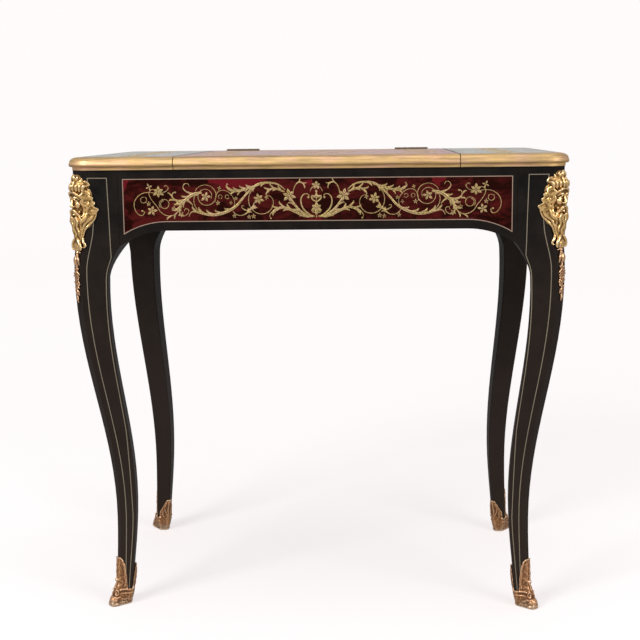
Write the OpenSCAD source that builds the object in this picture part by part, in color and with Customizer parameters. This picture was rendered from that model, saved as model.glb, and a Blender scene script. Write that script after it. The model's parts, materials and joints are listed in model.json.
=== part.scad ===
// Writing and dressing table on four cabriole legs, with three hinged lids,
// a brass edge, red shell and brass marquetry and gilt corner mounts.
// Millimetres, +Z up, origin on the floor under the middle, front towards -Y.

/* [Overall] */
// Width over the brass edge
table_w = 780; // [740:5:860]
// Depth over the brass edge
table_d = 500; // [480:5:580]
// Height to the top of the lids
table_h = 742; // [700:2:790]

/* [Lids] */
// Thickness of the lids
top_t = 20; // [18:0.5:26]
// Rounding of the top's corners in plan
top_corner_r = 38; // [30:1:50]
// Distance between the two seams
centre_w = 441; // [400:1:460]
// Gap at each seam
seam_gap = 1.2; // [0.8:0.1:2.5]
// Gap between a closed lid and the frame under it
rest_gap = 0.2; // [0.1:0.05:0.5]
// Depth of the fixed strip behind the centre lid
strip_d = 45; // [40:1:60]
// Width of the brass moulding
edge_w = 15; // [12:0.5:18]
// Thickness of the marquetry sheet on the lids
sheet_t = 1.5; // [1:0.1:2.5]

/* [Frieze] */
// Overhang of the brass edge past the frieze
overhang = 8.5; // [8:0.5:14]
// Height of the aprons at mid length
apron_h = 94; // [84:1:110]
// Thickness of the aprons
apron_t = 20; // [18:1:26]
// How far the apron ends curve down
arc_drop = 24; // [14:1:30]
// Length of each curved end
arc_l = 75; // [60:1:90]
// Plain wood above and below each marquetry panel
border = 13.5; // [10:0.5:18]
// Plain wood between a marquetry panel and the leg beside it
side_border = 7; // [5:0.5:12]
// Thickness of the marquetry panels
panel_t = 2; // [1.5:0.1:4]
// Width of the brass lines
line_w = 1.3; // [0.8:0.1:2]
// Height of the brass lines and scrolls above the ground they lie on
line_t = 0.25; // [0.2:0.05:0.6]
// Length of the tenons
tenon_l = 24; // [16:1:30]
// Thickness of the tenons
tenon_t = 7; // [5:0.5:9]

/* [Legs] */
// Width of the leg's square head
head_w = 73.5; // [66:0.5:80]
// Width of the leg at the knee
knee_w = 53.5; // [48:0.5:60]
// Width of the leg at the ankle
ankle_w = 29.5; // [26:0.5:36]
// Inset of the knee from the edge of the top
knee_in = 6.2; // [4:0.1:9]
// Inset of the ankle from the edge of the top
ankle_in = 51.5; // [44:0.5:60]
// Inset of the foot from the edge of the top
foot_in = 47.5; // [40:0.5:54]
// Height of the knee
knee_z = 560; // [530:2:590]
// Height of the ankle
ankle_z = 150; // [120:2:180]
// Cut-off corner at the ankle
ankle_cut = 5.5; // [4.5:0.5:9]
// Cut-off corner at the knee
knee_cut = 12.5; // [10:0.5:16]
// Cut-off corner behind the mask's beard
mask_cut = 23.5; // [18:0.5:28]
// Cut-off corner at the head
head_cut = 16; // [12:1:22]
// How far the outer faces lean back towards their inner edges at the knee
knee_lean = 5; // [2:0.5:7]
// How far the outer faces lean back at the ankle
ankle_lean = 1; // [0:0.5:2]
// Cut-off inner corner at the knee
knee_back = 7; // [4:0.5:10]
// Cut-off inner corner at the ankle
ankle_back = 3; // [2:0.5:5]

/* [Mounts] */
// Height of the corner mask
mask_h = 121.5; // [104:0.5:126]
// Half width of the mask at its curls
mask_half_w = 29.5; // [26:0.5:31]
// How far the face stands out from the leg
mask_out = 14; // [11:0.5:15]
// Length of the drop under the mask
drop_l = 84; // [60:1:100]
// Width of the drop
drop_w = 13; // [9:0.5:15]
// Height of the shoe's leaf at the outer corner
shoe_h = 82; // [60:1:100]
// Height of the shoe's leaf at the inner corner
heel_leaf_h = 64; // [50:1:80]
// Height of the shoe's collar
collar_h = 27; // [22:1:36]
// Wall of the shoe
shoe_t = 2; // [1.5:0.1:3]
// Sole of the shoe under the wood
sole_t = 4; // [3:0.5:6]
// How far the toe kicks out past the foot
toe_out = 11.5; // [9:0.5:16]
// How far the heel draws in under the foot
heel_draw = 9; // [5:0.5:13]
// How far the foot's outer faces fall back from the toe to the heel
heel_lean = 5; // [2:0.5:7]

/* [Hinges] */
// Length of a hinge
hinge_l = 62; // [50:1:70]
// Radius of the hinge barrel
barrel_r = 3.2; // [2.8:0.1:3.8]
// Radius of the hinge pin
pin_r = 1.5; // [1.2:0.1:1.8]
// Running clearance round the pin
pin_clear = 0.05; // [0.02:0.01:0.1]
// Thickness of a hinge leaf
leaf_t = 1.6; // [1.2:0.1:2]
// Width of a leaf from the axis
leaf_w = 22; // [18:0.5:24]
// Distance of each centre hinge from the middle
centre_hinge_x = 159; // [100:1:165]
// Distance of each side hinge from the middle
side_hinge_y = 100; // [60:1:115]
// Inset of the side hinge axis from the edge of the top
side_axis_in = 3; // [2:0.5:4]
// Radius of a screw's shank
screw_r = 1.2; // [1:0.1:1.4]
// Length of a hinge screw
screw_l = 11; // [8:0.5:12]

/* [Inside] */
// Thickness of the bottom board
board_t = 10; // [8:0.5:14]
// Height of the cleats under the board
cleat_h = 6; // [5:0.5:10]
// Thickness of the partitions
partition_t = 10; // [8:0.5:14]
// Width of the mirror plate
mirror_w = 340; // [280:5:360]
// Height of the mirror plate when the lid stands open
mirror_d = 320; // [260:5:350]
// Thickness of the mirror plate
mirror_t = 3; // [2.5:0.5:4]
// Width of the mirror frame
mirror_rim = 16; // [12:1:20]

/* [Hidden] */
$fn = 48;

black = "#1a1614";
oak = "#8a6238";
shell = "#5c0f1a";
gilt = "#d9a93f";
bronze = "#a8743c";
steel = "#8f8a80";

half_w = table_w / 2;
half_d = table_d / 2;
lid_z = table_h - top_t;
frame_top = lid_z - rest_gap;
apron_z = frame_top - apron_h;
ear_z = apron_z - arc_drop;
head_in = overhang + head_w;
face_x = half_w - overhang;
face_y = half_d - overhang;
arc_r = (arc_l * arc_l + arc_drop * arc_drop) / (2 * arc_drop);
inside_x = face_x - apron_t;
inside_y = face_y - apron_t;
apron_half_x = half_w - head_in;
apron_half_y = half_d - head_in;
board_z = apron_z + cleat_h;
seam_x = centre_w / 2;
axis_rise = 0.1;
centre_axis_y = half_d - strip_d;
centre_axis_z = table_h + axis_rise;
side_axis_x = half_w - side_axis_in;
side_axis_z = frame_top + rest_gap / 2;
knuckle_gap = 0.4;
barrel_room = 0.5;
seat_gap = 0.05;
lid_gap = 0.6;
eps = 0.01;

// Solid through rings of points, each ring with as many points as the first
module loft(rings) {
    n = len(rings[0]);
    m = len(rings);
    points = [for (ring = rings) each ring];
    sides = [for (i = [0:m - 2]) for (j = [0:n - 1]) let (a = i * n + j, b = i * n + (j + 1) % n)
        each [[a, a + n, b], [b, a + n, b + n]]];
    bottom = [for (j = [0:n - 1]) j];
    top = [for (j = [n - 1:-1:0]) (m - 1) * n + j];
    polyhedron(points, concat([bottom], sides, [top]));
}

// Puts what is drawn at the front left corner at another corner
module corner(right, back) {
    mirror([right ? 1 : 0, 0, 0]) mirror([0, back ? 1 : 0, 0]) children();
}

// Leg outline, as insets from the edge of the top at a height

function ease(t) = t <= 0 ? 0 : t >= 1 ? 1 : (1 - cos(180 * t)) / 2;
function mix(a, b, t) = a + (b - a) * t;
head_blend = 90;
ear_h = 52;
width_low_z = ankle_z - 40;
width_high_z = knee_z - 20;
// The leg goes on narrowing below the ankle by this share of its taper
below_ankle = 0.08;
cut_peak_h = 82;
cut_peak_z = frame_top - cut_peak_h;

function leg_outer(z) = z < ankle_z ? mix(foot_in, ankle_in, ease(z / ankle_z))
    : z < knee_z ? mix(ankle_in, knee_in, ease((z - ankle_z) / (knee_z - ankle_z)))
    : mix(knee_in, overhang, ease((z - knee_z) / head_blend));
function rise(z) = (z - width_low_z) / (width_high_z - width_low_z);
function leg_width(z) = mix(ankle_w, knee_w, max(-below_ankle, rise(z)));
function ear(z) = z < ear_z - ear_h ? 0 : min(1, (z - ear_z + ear_h) / ear_h);
function leg_inner(z) = mix(leg_outer(z) + leg_width(z), head_in, ear(z) * ear(z))
    - heel_draw * heel_share(z);
function leg_cut(z) = z < knee_z
    ? mix(ankle_cut, knee_cut, max(0, (z - width_low_z) / (knee_z - width_low_z)))
    : z < cut_peak_z ? mix(knee_cut, mask_cut, ease((z - knee_z) / (cut_peak_z - knee_z)))
    : mix(mask_cut, head_cut, ease((z - cut_peak_z) / cut_peak_h));
function shank(z) = min(1, max(0, rise(z)));
function inner_lean(z) = mix(ankle_lean, knee_lean, shank(z)) * (1 - ear(z));
function leg_lean(z) = inner_lean(z) + heel_lean * heel_share(z);
function leg_back(z) = mix(mix(ankle_back, knee_back, shank(z)), arris, ear(z));

// Hoof form: share of the collar's height, share of the toe's reach, share of the heel's draw-in
hoof_form = [[0, 0.72, 1], [0.1, 0.98, 0.85], [0.24, 1, 0.7], [0.42, 0.8, 0.55], [0.62, 0.5, 0.42],
    [0.82, 0.34, 0.36], [1, 0.3, 0.32]];
// The foot has its full section again at this many collar heights
heel_fade = 2.6;
function heel_share(z) = lookup(z / collar_h, concat([for (f = hoof_form) [f[0], f[2]]], [[heel_fade, 0]]));

arris = 1.2;
leg_steps = 21;
ear_steps = 6;
leg_levels = concat([sole_t],
    [for (f = hoof_form) if (f[0] * collar_h > sole_t + 1 && f[0] < 1) f[0] * collar_h],
    [for (i = [0:leg_steps]) mix(collar_h, ear_z - ear_h, i / leg_steps)],
    [for (i = [1:ear_steps]) mix(ear_z - ear_h, ear_z, i / ear_steps)],
    [for (t = [0.5, 1]) mix(ear_z, cut_peak_z, t)],
    [for (t = [0.25, 0.5, 0.75, 1]) mix(cut_peak_z, frame_top, t)]);

// One ring of the leg at the front left corner
function leg_ring(z) = let (a = leg_outer(z), b = leg_inner(z), c = leg_cut(z), d = leg_lean(z),
    i = inner_lean(z), k = leg_back(z))
    [for (p = [[a, a + c], [a + c, a], [b - arris, a + d], [b, a + d + arris], [b - i, b - k], [b - k, b - i],
        [a + d + arris, b], [a + d, b - arris]]) [p[0] - half_w, p[1] - half_d, z]];

module leg_core() {
    loft([for (z = leg_levels) leg_ring(z)]);
}

tenon_low = 14;
tenon_h = apron_h - tenon_low - 20;
tenon_in = 6;
// How far a tenon runs on inside the apron that it is cut from
tenon_root = 5;

// Room for the two tenons that enter the front left leg
module mortises() {
    translate([-apron_half_x - tenon_l, -face_y + tenon_in, apron_z + tenon_low])
        cube([tenon_l + eps, tenon_t, tenon_h]);
    translate([-face_x + tenon_in, -apron_half_y - tenon_l, apron_z + tenon_low])
        cube([tenon_t, tenon_l + eps, tenon_h]);
}

// Height over which the shoe's toe dies away above its collar
toe_fade = 12;
shoe_screw_l = 16;
shoe_head_r = 3.4;
shoe_screw_z = collar_h + toe_fade + shoe_head_r + 1;
// The shoe's wall is thicker across the cut corner than square to it
shoe_head_clear = 0.5;
shoe_head_at = shoe_t * sqrt(2) + shoe_head_clear;

// Turns what is drawn along +X to point outwards from the front left leg's cut corner
module at_cut(z) {
    mid = leg_outer(z) + leg_cut(z) / 2;
    translate([mid - half_w, mid - half_d, z]) rotate([0, 0, -135]) children();
}

module shoe_screw(room) {
    at_cut(shoe_screw_z) rotate([0, 90, 0]) {
        translate([0, 0, -shoe_screw_l]) cylinder(r = screw_r + room, h = shoe_screw_l + shoe_head_at + 1);
        if (room == 0) translate([0, 0, shoe_head_at]) intersection() {
            sphere(r = shoe_head_r);
            cylinder(r = shoe_head_r, h = shoe_head_r);
        }
    }
}

module leg() {
    color(black) difference() {
        leg_core();
        mortises();
        shoe_screw(seat_gap);
    }
}

module front_left_leg() { corner(false, false) leg(); }
module front_right_leg() { corner(true, false) leg(); }
module back_left_leg() { corner(false, true) leg(); }
module back_right_leg() { corner(true, true) leg(); }

// Apron outline in its own plane: flat below, with ends that curve down towards the legs
arc_steps = 10;
function end_arc(half, rise, inset) = [for (i = [0:arc_steps])
    let (x = mix(half - arc_l, half - inset, i / arc_steps), run = x - half + arc_l)
    [x, apron_z + rise - arc_r + sqrt(arc_r * arc_r - run * run)]];
function mirrored(points) = [for (i = [len(points) - 1:-1:0]) [-points[i][0], points[i][1]]];
function outline(half, rise, inset, top) = let (arc = end_arc(half, rise, inset))
    concat([[inset - half, top]], mirrored(arc), arc, [[half - inset, top]]);

// Stands an outline drawn in X and Z upright, its outer face at the given distance from the middle
module upright(out, thick) {
    translate([0, -out + thick, 0]) rotate([90, 0, 0]) linear_extrude(height = thick) children();
}

module panel_outline(half) {
    polygon(outline(half, border, side_border, frame_top - border));
}

// The shell sheet lies inside the brass line that fills the rim of the recess
module sheet_outline(half) {
    intersection_for (d = [[1, 0], [-1, 0], [0, 1], [0, -1], [0.7, 0.7], [-0.7, 0.7]])
        translate(line_w * d) panel_outline(half);
}

module apron(half, out) {
    color(black) difference() {
        union() {
            upright(out, apron_t) polygon(outline(half, 0, 0, frame_top));
            for (x = [-half - tenon_l, half - tenon_root])
                translate([x, -out + tenon_in, apron_z + tenon_low])
                    cube([tenon_l + tenon_root, tenon_t, tenon_h]);
        }
        translate([0, -eps, 0]) upright(out, panel_t + eps) panel_outline(half);
    }
}

module panel(half, out) {
    color(shell) upright(out, panel_t) sheet_outline(half);
}

module panel_line(half, out) {
    upright(out + line_t, panel_t + line_t) difference() {
        panel_outline(half);
        sheet_outline(half);
    }
}

module front_apron() { apron(apron_half_x, face_y); }
module back_apron() { rotate([0, 0, 180]) front_apron(); }

module left_apron() {
    color(black) difference() {
        rotate([0, 0, -90]) apron(apron_half_y, face_x);
        left_hinges_room();
    }
}

module right_apron() { mirror([1, 0, 0]) left_apron(); }
module front_panel() { panel(apron_half_x, face_y); }
module back_panel() { rotate([0, 0, 180]) panel(apron_half_x, face_y); }
module left_panel() { rotate([0, 0, -90]) panel(apron_half_y, face_x); }
module right_panel() { rotate([0, 0, 90]) panel(apron_half_y, face_x); }

module panel_lines() {
    color(gilt) for (turn = [0, 180]) rotate([0, 0, turn]) {
        panel_line(apron_half_x, face_y);
        rotate([0, 0, 90]) panel_line(apron_half_y, face_x);
    }
}

// Scrollwork of flat brass, drawn on a grid that has its origin at the middle of the panel
scroll_z = (apron_z + border + frame_top - border) / 2;
grid_rows = 67;
grid_columns = 294;
short_columns = 154;

function between(list, t) = let (s = t * (len(list) - 1), i = min(floor(s), len(list) - 2))
    mix(list[i], list[i + 1], s - i);

// A smooth line through the points of a stroke
stroke_steps = 4;
function smooth_at(p, i, t) = let (a = p[max(i - 1, 0)], b = p[i], c = p[i + 1],
    d = p[min(i + 2, len(p) - 1)])
    (2 * b + (c - a) * t + (2 * a - 5 * b + 4 * c - d) * t * t + (3 * b - a - 3 * c + d) * t * t * t) / 2;
function smooth_line(p) = concat([for (i = [0:len(p) - 2]) for (k = [0:stroke_steps - 1])
    smooth_at(p, i, k / stroke_steps)], [p[len(p) - 1]]);
function spiral_line(centre, r0, r1, start, sweep) = let (n = ceil(abs(sweep) / 20)) [for (i = [0:n])
    centre + mix(r0, r1, i / n) * [cos(start + sweep * i / n), sin(start + sweep * i / n)]];

// Outline of a stroke that widens and narrows along its line
function stroke_side(line, widths, side) = let (n = len(line) - 1) [for (i = [0:n])
    let (d = line[min(i + 1, n)] - line[max(i - 1, 0)])
        line[i] + side * between(widths, i / n) / 2 * [-d[1], d[0]] / norm(d)];
function reversed(list) = [for (i = [len(list) - 1:-1:0]) list[i]];
function stroke(line, widths) = concat(stroke_side(line, widths, 1), reversed(stroke_side(line, widths, -1)));
// Flower of five petals, the same to its left and right
function bloom(centre, r) = [for (a = [0:12:348])
    centre + r * (0.8 + 0.2 * cos(5 * (a - 90))) * [cos(a), sin(a)]];

// Right half of the scrollwork: what every panel has, then the outer end of a long and of a short one
near_strokes = [
    stroke(smooth_line([[0, -29], [16, -22], [24, -7], [22, 4], [14.5, 8.5],
        [9, 5]]), [1.8, 2.6, 2.4, 1.6, 1.2]),
    stroke(smooth_line([[2, -31], [20, -26], [34, -16.5], [48, -9.5], [61, -12], [69, -20], [70, -28.5]]),
        [1.4, 3, 4.6, 4.2, 2.4, 1]),
    stroke(smooth_line([[46, 7], [58, 11.5], [68, 9], [73, 2], [71, -4]]), [1.4, 3.8, 3, 1.2]),
    stroke(smooth_line([[92, 20], [108, 17], [124, 13.5], [135, 16], [139.5, 23]]), [2.6, 3.6, 2.6, 1.2]),
    stroke(smooth_line([[89, -3], [100, -9.5], [111, -15], [119, -16]]), [1.6, 4.2, 3.4, 0.8]),
    stroke(smooth_line([[39, 10], [32, 19], [24, 24], [16.5, 21.5], [15.5, 15]]), [1, 1.5, 2, 1.6, 0.8]),
    stroke(spiral_line([87, 0.5], 19, 17.5, 168, 252), [1, 1.5, 1.4, 1]),
    bloom([0, -13], 8), bloom([0, 21.5], 6.4), bloom([42, 3.5], 8.6), bloom([87, 1], 8.8)];
long_strokes = [
    stroke(smooth_line([[46, 9], [57, 20], [75, 25], [93, 21], [106, 10], [119, -5], [134, -17], [154, -23.5],
        [171, -21.5], [184, -17], [195, -17], [201, -24]]), [1.6, 4, 4.8, 3.6, 3.4, 4.6, 4.4, 2.6, 1]),
    stroke(smooth_line([[180, 12.5], [190, 12.5], [203, 7], [214, 0], [225, 2], [228.5, 9.5], [223.5, 14.5]]),
        [1.8, 4, 4.8, 3.2, 1.8, 1.2]),
    stroke(smooth_line([[193, 0], [203, -14], [214, -20.5], [228, -23.5], [240, -20], [248, -10.5], [253, 2],
        [262, 12], [272, 15.5], [283, 9], [289, -4], [286, -16.5], [279, -23], [272, -20.5]]),
        [3.2, 3, 1.8, 1.6, 1.4, 1.4, 1.3, 1.2]),
    stroke(spiral_line([172.5, 6.5], 18, 10.5, 235, -470), [0.9, 1.5, 1.5, 1.2, 0.9]),
    stroke(spiral_line([237.5, -3], 9.5, 4.5, 300, 480), [0.8, 1.3, 1.2, 0.8]),
    bloom([172.5, 6.5], 7.6), bloom([243, 10], 5), bloom([261.5, 22], 5.2), bloom([259.5, -15], 6.5)];
short_strokes = [
    stroke(smooth_line([[46, 9], [57, 20], [75, 25], [93, 21], [106, 10], [119, -5], [134, -17], [145, -19],
        [150, -12], [147, -5], [140.5, -6]]), [1.6, 4.2, 4.6, 3.4, 2.4, 1.2])];

module scrollwork(half, out, strokes, columns) {
    step_x = (half - side_border) / columns;
    step_z = (apron_h - 2 * border) / grid_rows;
    color(gilt) translate([0, -out, scroll_z]) rotate([90, 0, 0]) linear_extrude(height = line_t)
        for (side = [-1, 1]) for (s = strokes) polygon([for (p = s) [side * step_x * p[0], step_z * p[1]]]);
}

module long_scrollwork() {
    scrollwork(apron_half_x, face_y, concat(near_strokes, long_strokes), grid_columns);
}

module short_scrollwork() {
    scrollwork(apron_half_y, face_x, concat(near_strokes, short_strokes), short_columns);
}

module front_scrollwork() { long_scrollwork(); }
module back_scrollwork() { rotate([0, 0, 180]) long_scrollwork(); }
module left_scrollwork() { rotate([0, 0, -90]) short_scrollwork(); }
module right_scrollwork() { rotate([0, 0, 90]) short_scrollwork(); }

// Brass lines down the two outer faces of a leg
head_line_border = 11.3;
line_head_z = frame_top - head_line_border;
collar_gap = 2;
line_foot_z = collar_h + collar_gap;
// Least height between two levels of a line
level_gap = 4;
knee_border = 3;
ankle_border = 5.2;
cut_border = 9;
// Depth to which the lines are let into the leg before its solid is cut from them
line_sunk = 0.3;
// The inner line leans a little towards the seam with the apron as it goes down the head
head_border = 18;
line_lean = 0.025;
function inner_line(z) = min(leg_inner(z) - mix(ankle_border, knee_border, shank(z)),
    head_in - head_border + line_lean * (line_head_z - z));
function outer_line(z) = leg_outer(z) + leg_cut(z) + cut_border;
line_levels = concat([line_foot_z],
    [for (z = leg_levels) if (z > line_foot_z + level_gap && z < line_head_z - level_gap) z], [line_head_z]);
// Inset of the leaning face at one of the leg's levels
function face_at(z, x) = let (a = leg_outer(z), near = a + leg_cut(z), far = leg_inner(z) - arris)
    a + leg_lean(z) * (x - near) / (far - near);
// The face is ruled between the leg's levels, so the line follows it there
function level_below(z) = max([for (k = leg_levels) if (k <= z) k]);
function level_above(z) = min([for (k = leg_levels) if (k >= z) k]);
function face_in(z, x) = let (a = level_below(z), b = level_above(z))
    a == b ? face_at(z, x) : mix(face_at(a, x), face_at(b, x), (z - a) / (b - a));

module leg_line(outer) {
    loft([for (z = line_levels) let (x0 = outer ? outer_line(z) : inner_line(z), x1 = x0 + line_w,
        y0 = face_in(z, x0) - half_d, y1 = face_in(z, x1) - half_d)
        [[x0 - half_w, y0 - line_t, z], [x1 - half_w, y1 - line_t, z],
        [x1 - half_w, y1 + line_sunk, z], [x0 - half_w, y0 + line_sunk, z]]]);
}

// Swaps the front face's lines onto the side face
module onto_side() {
    translate([-half_w, -half_d, 0]) mirror([1, -1, 0]) translate([half_w, half_d, 0]) children();
}

module leg_lines_front() {
    leg_line(true);
    leg_line(false);
    far = inner_line(line_head_z);
    near = outer_line(line_head_z);
    translate([near - half_w + line_w, face_in(line_head_z, near) - half_d - line_t, line_head_z - line_w])
        cube([far - near - line_w, line_t + line_sunk, line_w]);
}

module one_leg_lines() {
    difference() {
        union() {
            leg_lines_front();
            onto_side() leg_lines_front();
        }
        leg_core();
        shoe_form();
        mask_solid();
    }
}

module leg_lines() {
    color(gilt) for (right = [false, true]) for (back = [false, true]) corner(right, back) one_leg_lines();
}

// Bearded mask: rings across the cut corner, wide at the curls and pointed at the beard
mask_top_gap = 3.5;
mask_top_z = frame_top - mask_top_gap;
mask_sides = 14;
// Share of the height from the top, share of the half width, share of the depth
mask_form = [[0, 0.2, 0.3], [0.05, 0.34, 0.5], [0.14, 0.38, 0.6], [0.165, 0.64, 0.8], [0.25, 0.78, 0.92],
    [0.34, 0.8, 0.86], [0.42, 1, 0.98], [0.5, 0.95, 1], [0.59, 0.85, 0.92], [0.74, 0.62, 0.84],
    [0.82, 0.46, 0.74], [0.87, 0.36, 0.66], [0.93, 0.38, 0.5], [1, 0.12, 0.3]];
mask_back = 15;

module mask_solid() {
    rings = [for (i = [len(mask_form) - 1:-1:0]) let (f = mask_form[i], z = mask_top_z - mask_h * f[0],
        mid = leg_outer(z) + leg_cut(z) / 2, back = mask_back * f[1])
        [for (j = [0:mask_sides - 1]) let (a = 360 * j / mask_sides,
            out = (mask_out * f[2] + back) * pow((1 + cos(a)) / 2, 2) - back,
                across = mask_half_w * f[1] * sin(a))
            [mid - half_w - (out - across) / sqrt(2), mid - half_d - (out + across) / sqrt(2), z]]];
    loft(rings);
}

module mask() {
    color(gilt) difference() {
        mask_solid();
        leg_core();
    }
}

module front_left_mask() { corner(false, false) mask(); }
module front_right_mask() { corner(true, false) mask(); }
module back_left_mask() { corner(false, true) mask(); }
module back_right_mask() { corner(true, true) mask(); }

// Drop of husks on the cut corner under the mask
drop_top_z = mask_top_z - mask_h;
husks = 6;
drop_steps = 4 * husks;
drop_thick = 5;
drop_sunk = 3;
drop_foot = 0.35;

module drop() {
    color(gilt) difference() {
        loft([for (i = [0:drop_steps]) let (t = i / drop_steps, z = drop_top_z - drop_l * (1 - t),
            mid = leg_outer(z) + leg_cut(z) / 2, swell = 0.7 + 0.3 * cos(360 * husks * t),
            wide = drop_w / 2 * mix(drop_foot, 1, t) * swell, out = drop_thick * swell, back = -drop_sunk)
            [for (p = [[back, -wide], [0, -wide], [out, -wide / 2], [out, wide / 2], [0, wide], [back, wide]])
                [mid - half_w - (p[0] - p[1]) / sqrt(2), mid - half_d - (p[0] + p[1]) / sqrt(2), z]]]);
        leg_core();
    }
}

module front_left_drop() { corner(false, false) drop(); }
module front_right_drop() { corner(true, false) drop(); }
module back_left_drop() { corner(false, true) drop(); }
module back_right_drop() { corner(true, true) drop(); }

// Shoe: a cast brass hoof with leaves that climb the outer and the inner corner
collar_toe = hoof_form[len(hoof_form) - 1][1];
shoe_arris = 4;
toe_cut = 0.3;

// The toe's reach is full at the outer corner and nothing at the inner edges
function shoe_ring(z, toe) = let (a = leg_outer(z) - shoe_t, b = leg_inner(z) + shoe_t, t = toe_out * toe,
    c = leg_cut(z) + t * toe_cut - t, d = a + leg_lean(z), e = shoe_arris)
    [for (p = [[a - t, a + c], [a + c, a - t], [b - e, d], [b, d + e], [b, b - e], [b - e, b], [d + e, b],
        [d, b - e]]) [p[0] - half_w, p[1] - half_d, z]];

module shoe_solid() {
    loft(concat([for (f = hoof_form) shoe_ring(f[0] * collar_h, f[1])],
        [for (i = [1:2]) shoe_ring(collar_h + toe_fade * i / 2, collar_toe * (1 - i / 2))],
        [for (i = [1:4]) shoe_ring(mix(collar_h + toe_fade, shoe_h, i / 4), 0)]));
}

// Edge of the leaf that climbs the outer corner: distance in along the diagonal, share of its height
leaf_edge = [[6.5, 1], [9.5, 0.94], [12, 0.82], [13, 0.6]];
leaf_root = 13.2;
// The same for the leaf at the inner corner, with distances in from that corner
heel_edge = [[16, 0.62], [12, 0.74], [7.5, 0.88], [3.5, 1]];
heel_root = 17.5;

// What lies above the collar and the two leaves
module above_leaf() {
    corner_in = leg_outer(collar_h);
    heel_at = (leg_inner(heel_leaf_h) - corner_in) * sqrt(2);
    far = 2 * head_w;
    translate([corner_in - half_w, corner_in - half_d, 0]) rotate([0, 0, 45]) rotate([90, 0, 0])
        translate([0, 0, -far]) linear_extrude(height = 2 * far) polygon(concat([[-far, shoe_h]],
            [for (p = leaf_edge) [p[0], p[1] * shoe_h]],
            [[leaf_root, collar_h], [heel_at - heel_root, collar_h]],
            [for (p = heel_edge) [heel_at - p[0], p[1] * heel_leaf_h]],
            [[far, heel_leaf_h], [far, shoe_h + far], [-far, shoe_h + far]]));
}

module shoe_form() {
    difference() {
        shoe_solid();
        above_leaf();
    }
}

module shoe() {
    color(bronze) difference() {
        shoe_form();
        leg_core();
        shoe_screw(seat_gap);
    }
}

module front_left_shoe() { corner(false, false) shoe(); }
module front_right_shoe() { corner(true, false) shoe(); }
module back_left_shoe() { corner(false, true) shoe(); }
module back_right_shoe() { corner(true, true) shoe(); }

module shoe_screws() {
    color(bronze) for (right = [false, true]) for (back = [false, true]) corner(right, back) shoe_screw(0);
}

// Bottom board, cut round the leg heads, on two cleats
module bottom_board() {
    color(oak) translate([0, 0, board_z]) linear_extrude(height = board_t) difference() {
        square([2 * inside_x, 2 * inside_y], center = true);
        for (x = [-1, 1]) for (y = [-1, 1])
            translate([x * half_w, y * half_d]) square(2 * head_in, center = true);
    }
}

cleat_w = 12;

module board_cleats() {
    color(oak) for (side = [0, 1]) mirror([0, side, 0])
        translate([-apron_half_x + arc_l, -inside_y, apron_z])
            cube([2 * (apron_half_x - arc_l), cleat_w, cleat_h]);
}

module left_partition() {
    color(oak) translate([-seam_x - partition_t / 2, -inside_y, board_z + board_t])
        cube([partition_t, 2 * inside_y, frame_top - board_z - board_t]);
}

module right_partition() { mirror([1, 0, 0]) left_partition(); }

// Brass moulding section: distance in from its nose, height above the lid's underside
shoulder_h = top_t * 0.6;
nose_h = top_t * 0.4;
shoulder_in = 1.2;
fillet_in = 5.6;
edge_section = concat([[edge_w, 0], [edge_w, top_t]],
    [for (a = [15:15:90]) [edge_w - (edge_w - shoulder_in) * sin(a), mix(shoulder_h, top_t, cos(a))]],
    [[0.3, mix(nose_h, shoulder_h, 0.5)], [0, nose_h], [0.5, nose_h * 0.8], [2, nose_h * 0.64]],
    [[fillet_in - 0.6, nose_h * 0.6], [fillet_in, nose_h * 0.5], [fillet_in, 0]]);

// A straight length of moulding from x0 to x1, nose towards -Y at the edge of the top
module edge_run(x0, x1) {
    translate([x0, -half_d, lid_z]) rotate([90, 0, 90])
        linear_extrude(height = x1 - x0) polygon(edge_section);
}

module edge_corner() {
    translate([-half_w + top_corner_r, -half_d + top_corner_r, lid_z]) rotate([0, 0, 180])
        rotate_extrude(angle = 90, $fn = 96) polygon([for (p = edge_section) [top_corner_r - p[0], p[1]]]);
}

module side_edge() {
    union() {
        for (back = [0, 1]) mirror([0, back, 0]) {
            edge_run(-half_w + top_corner_r, -seam_x - seam_gap / 2);
            edge_corner();
        }
        translate([-half_w, 0, lid_z]) rotate([90, 0, 0]) translate([0, 0, -half_d + top_corner_r])
            linear_extrude(height = table_d - 2 * top_corner_r) polygon(edge_section);
    }
}

module side_field() {
    intersection() {
        translate([-half_w + edge_w, -half_d + edge_w])
            square([half_w - edge_w - seam_x - seam_gap / 2, table_d - 2 * edge_w]);
        union() {
            translate([-half_w + edge_w, -half_d + top_corner_r])
                square([half_w, table_d - 2 * top_corner_r]);
            translate([-half_w + top_corner_r, -half_d]) square([half_w, table_d]);
            for (y = [-1, 1]) translate([-half_w + top_corner_r, y * (half_d - top_corner_r)])
                circle(r = top_corner_r - edge_w, $fn = 96);
        }
    }
}

module left_lid_board() {
    color(oak) difference() {
        translate([0, 0, lid_z]) linear_extrude(height = top_t - sheet_t) side_field();
        left_hinges_room();
    }
}

module left_lid_sheet() {
    color(shell) translate([0, 0, table_h - sheet_t]) linear_extrude(height = sheet_t) side_field();
}

module left_lid_edge() {
    color(gilt) difference() {
        side_edge();
        left_hinges_room();
    }
}

module right_lid_board() { mirror([1, 0, 0]) left_lid_board(); }
module right_lid_sheet() { mirror([1, 0, 0]) left_lid_sheet(); }
module right_lid_edge() { mirror([1, 0, 0]) left_lid_edge(); }

lid_half = seam_x - seam_gap / 2;

// Centre lid and the fixed strip behind it
module centre_block(y0, y1, z0, z1) {
    translate([-lid_half, y0, z0]) cube([2 * lid_half, y1 - y0, z1 - z0]);
}

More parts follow.
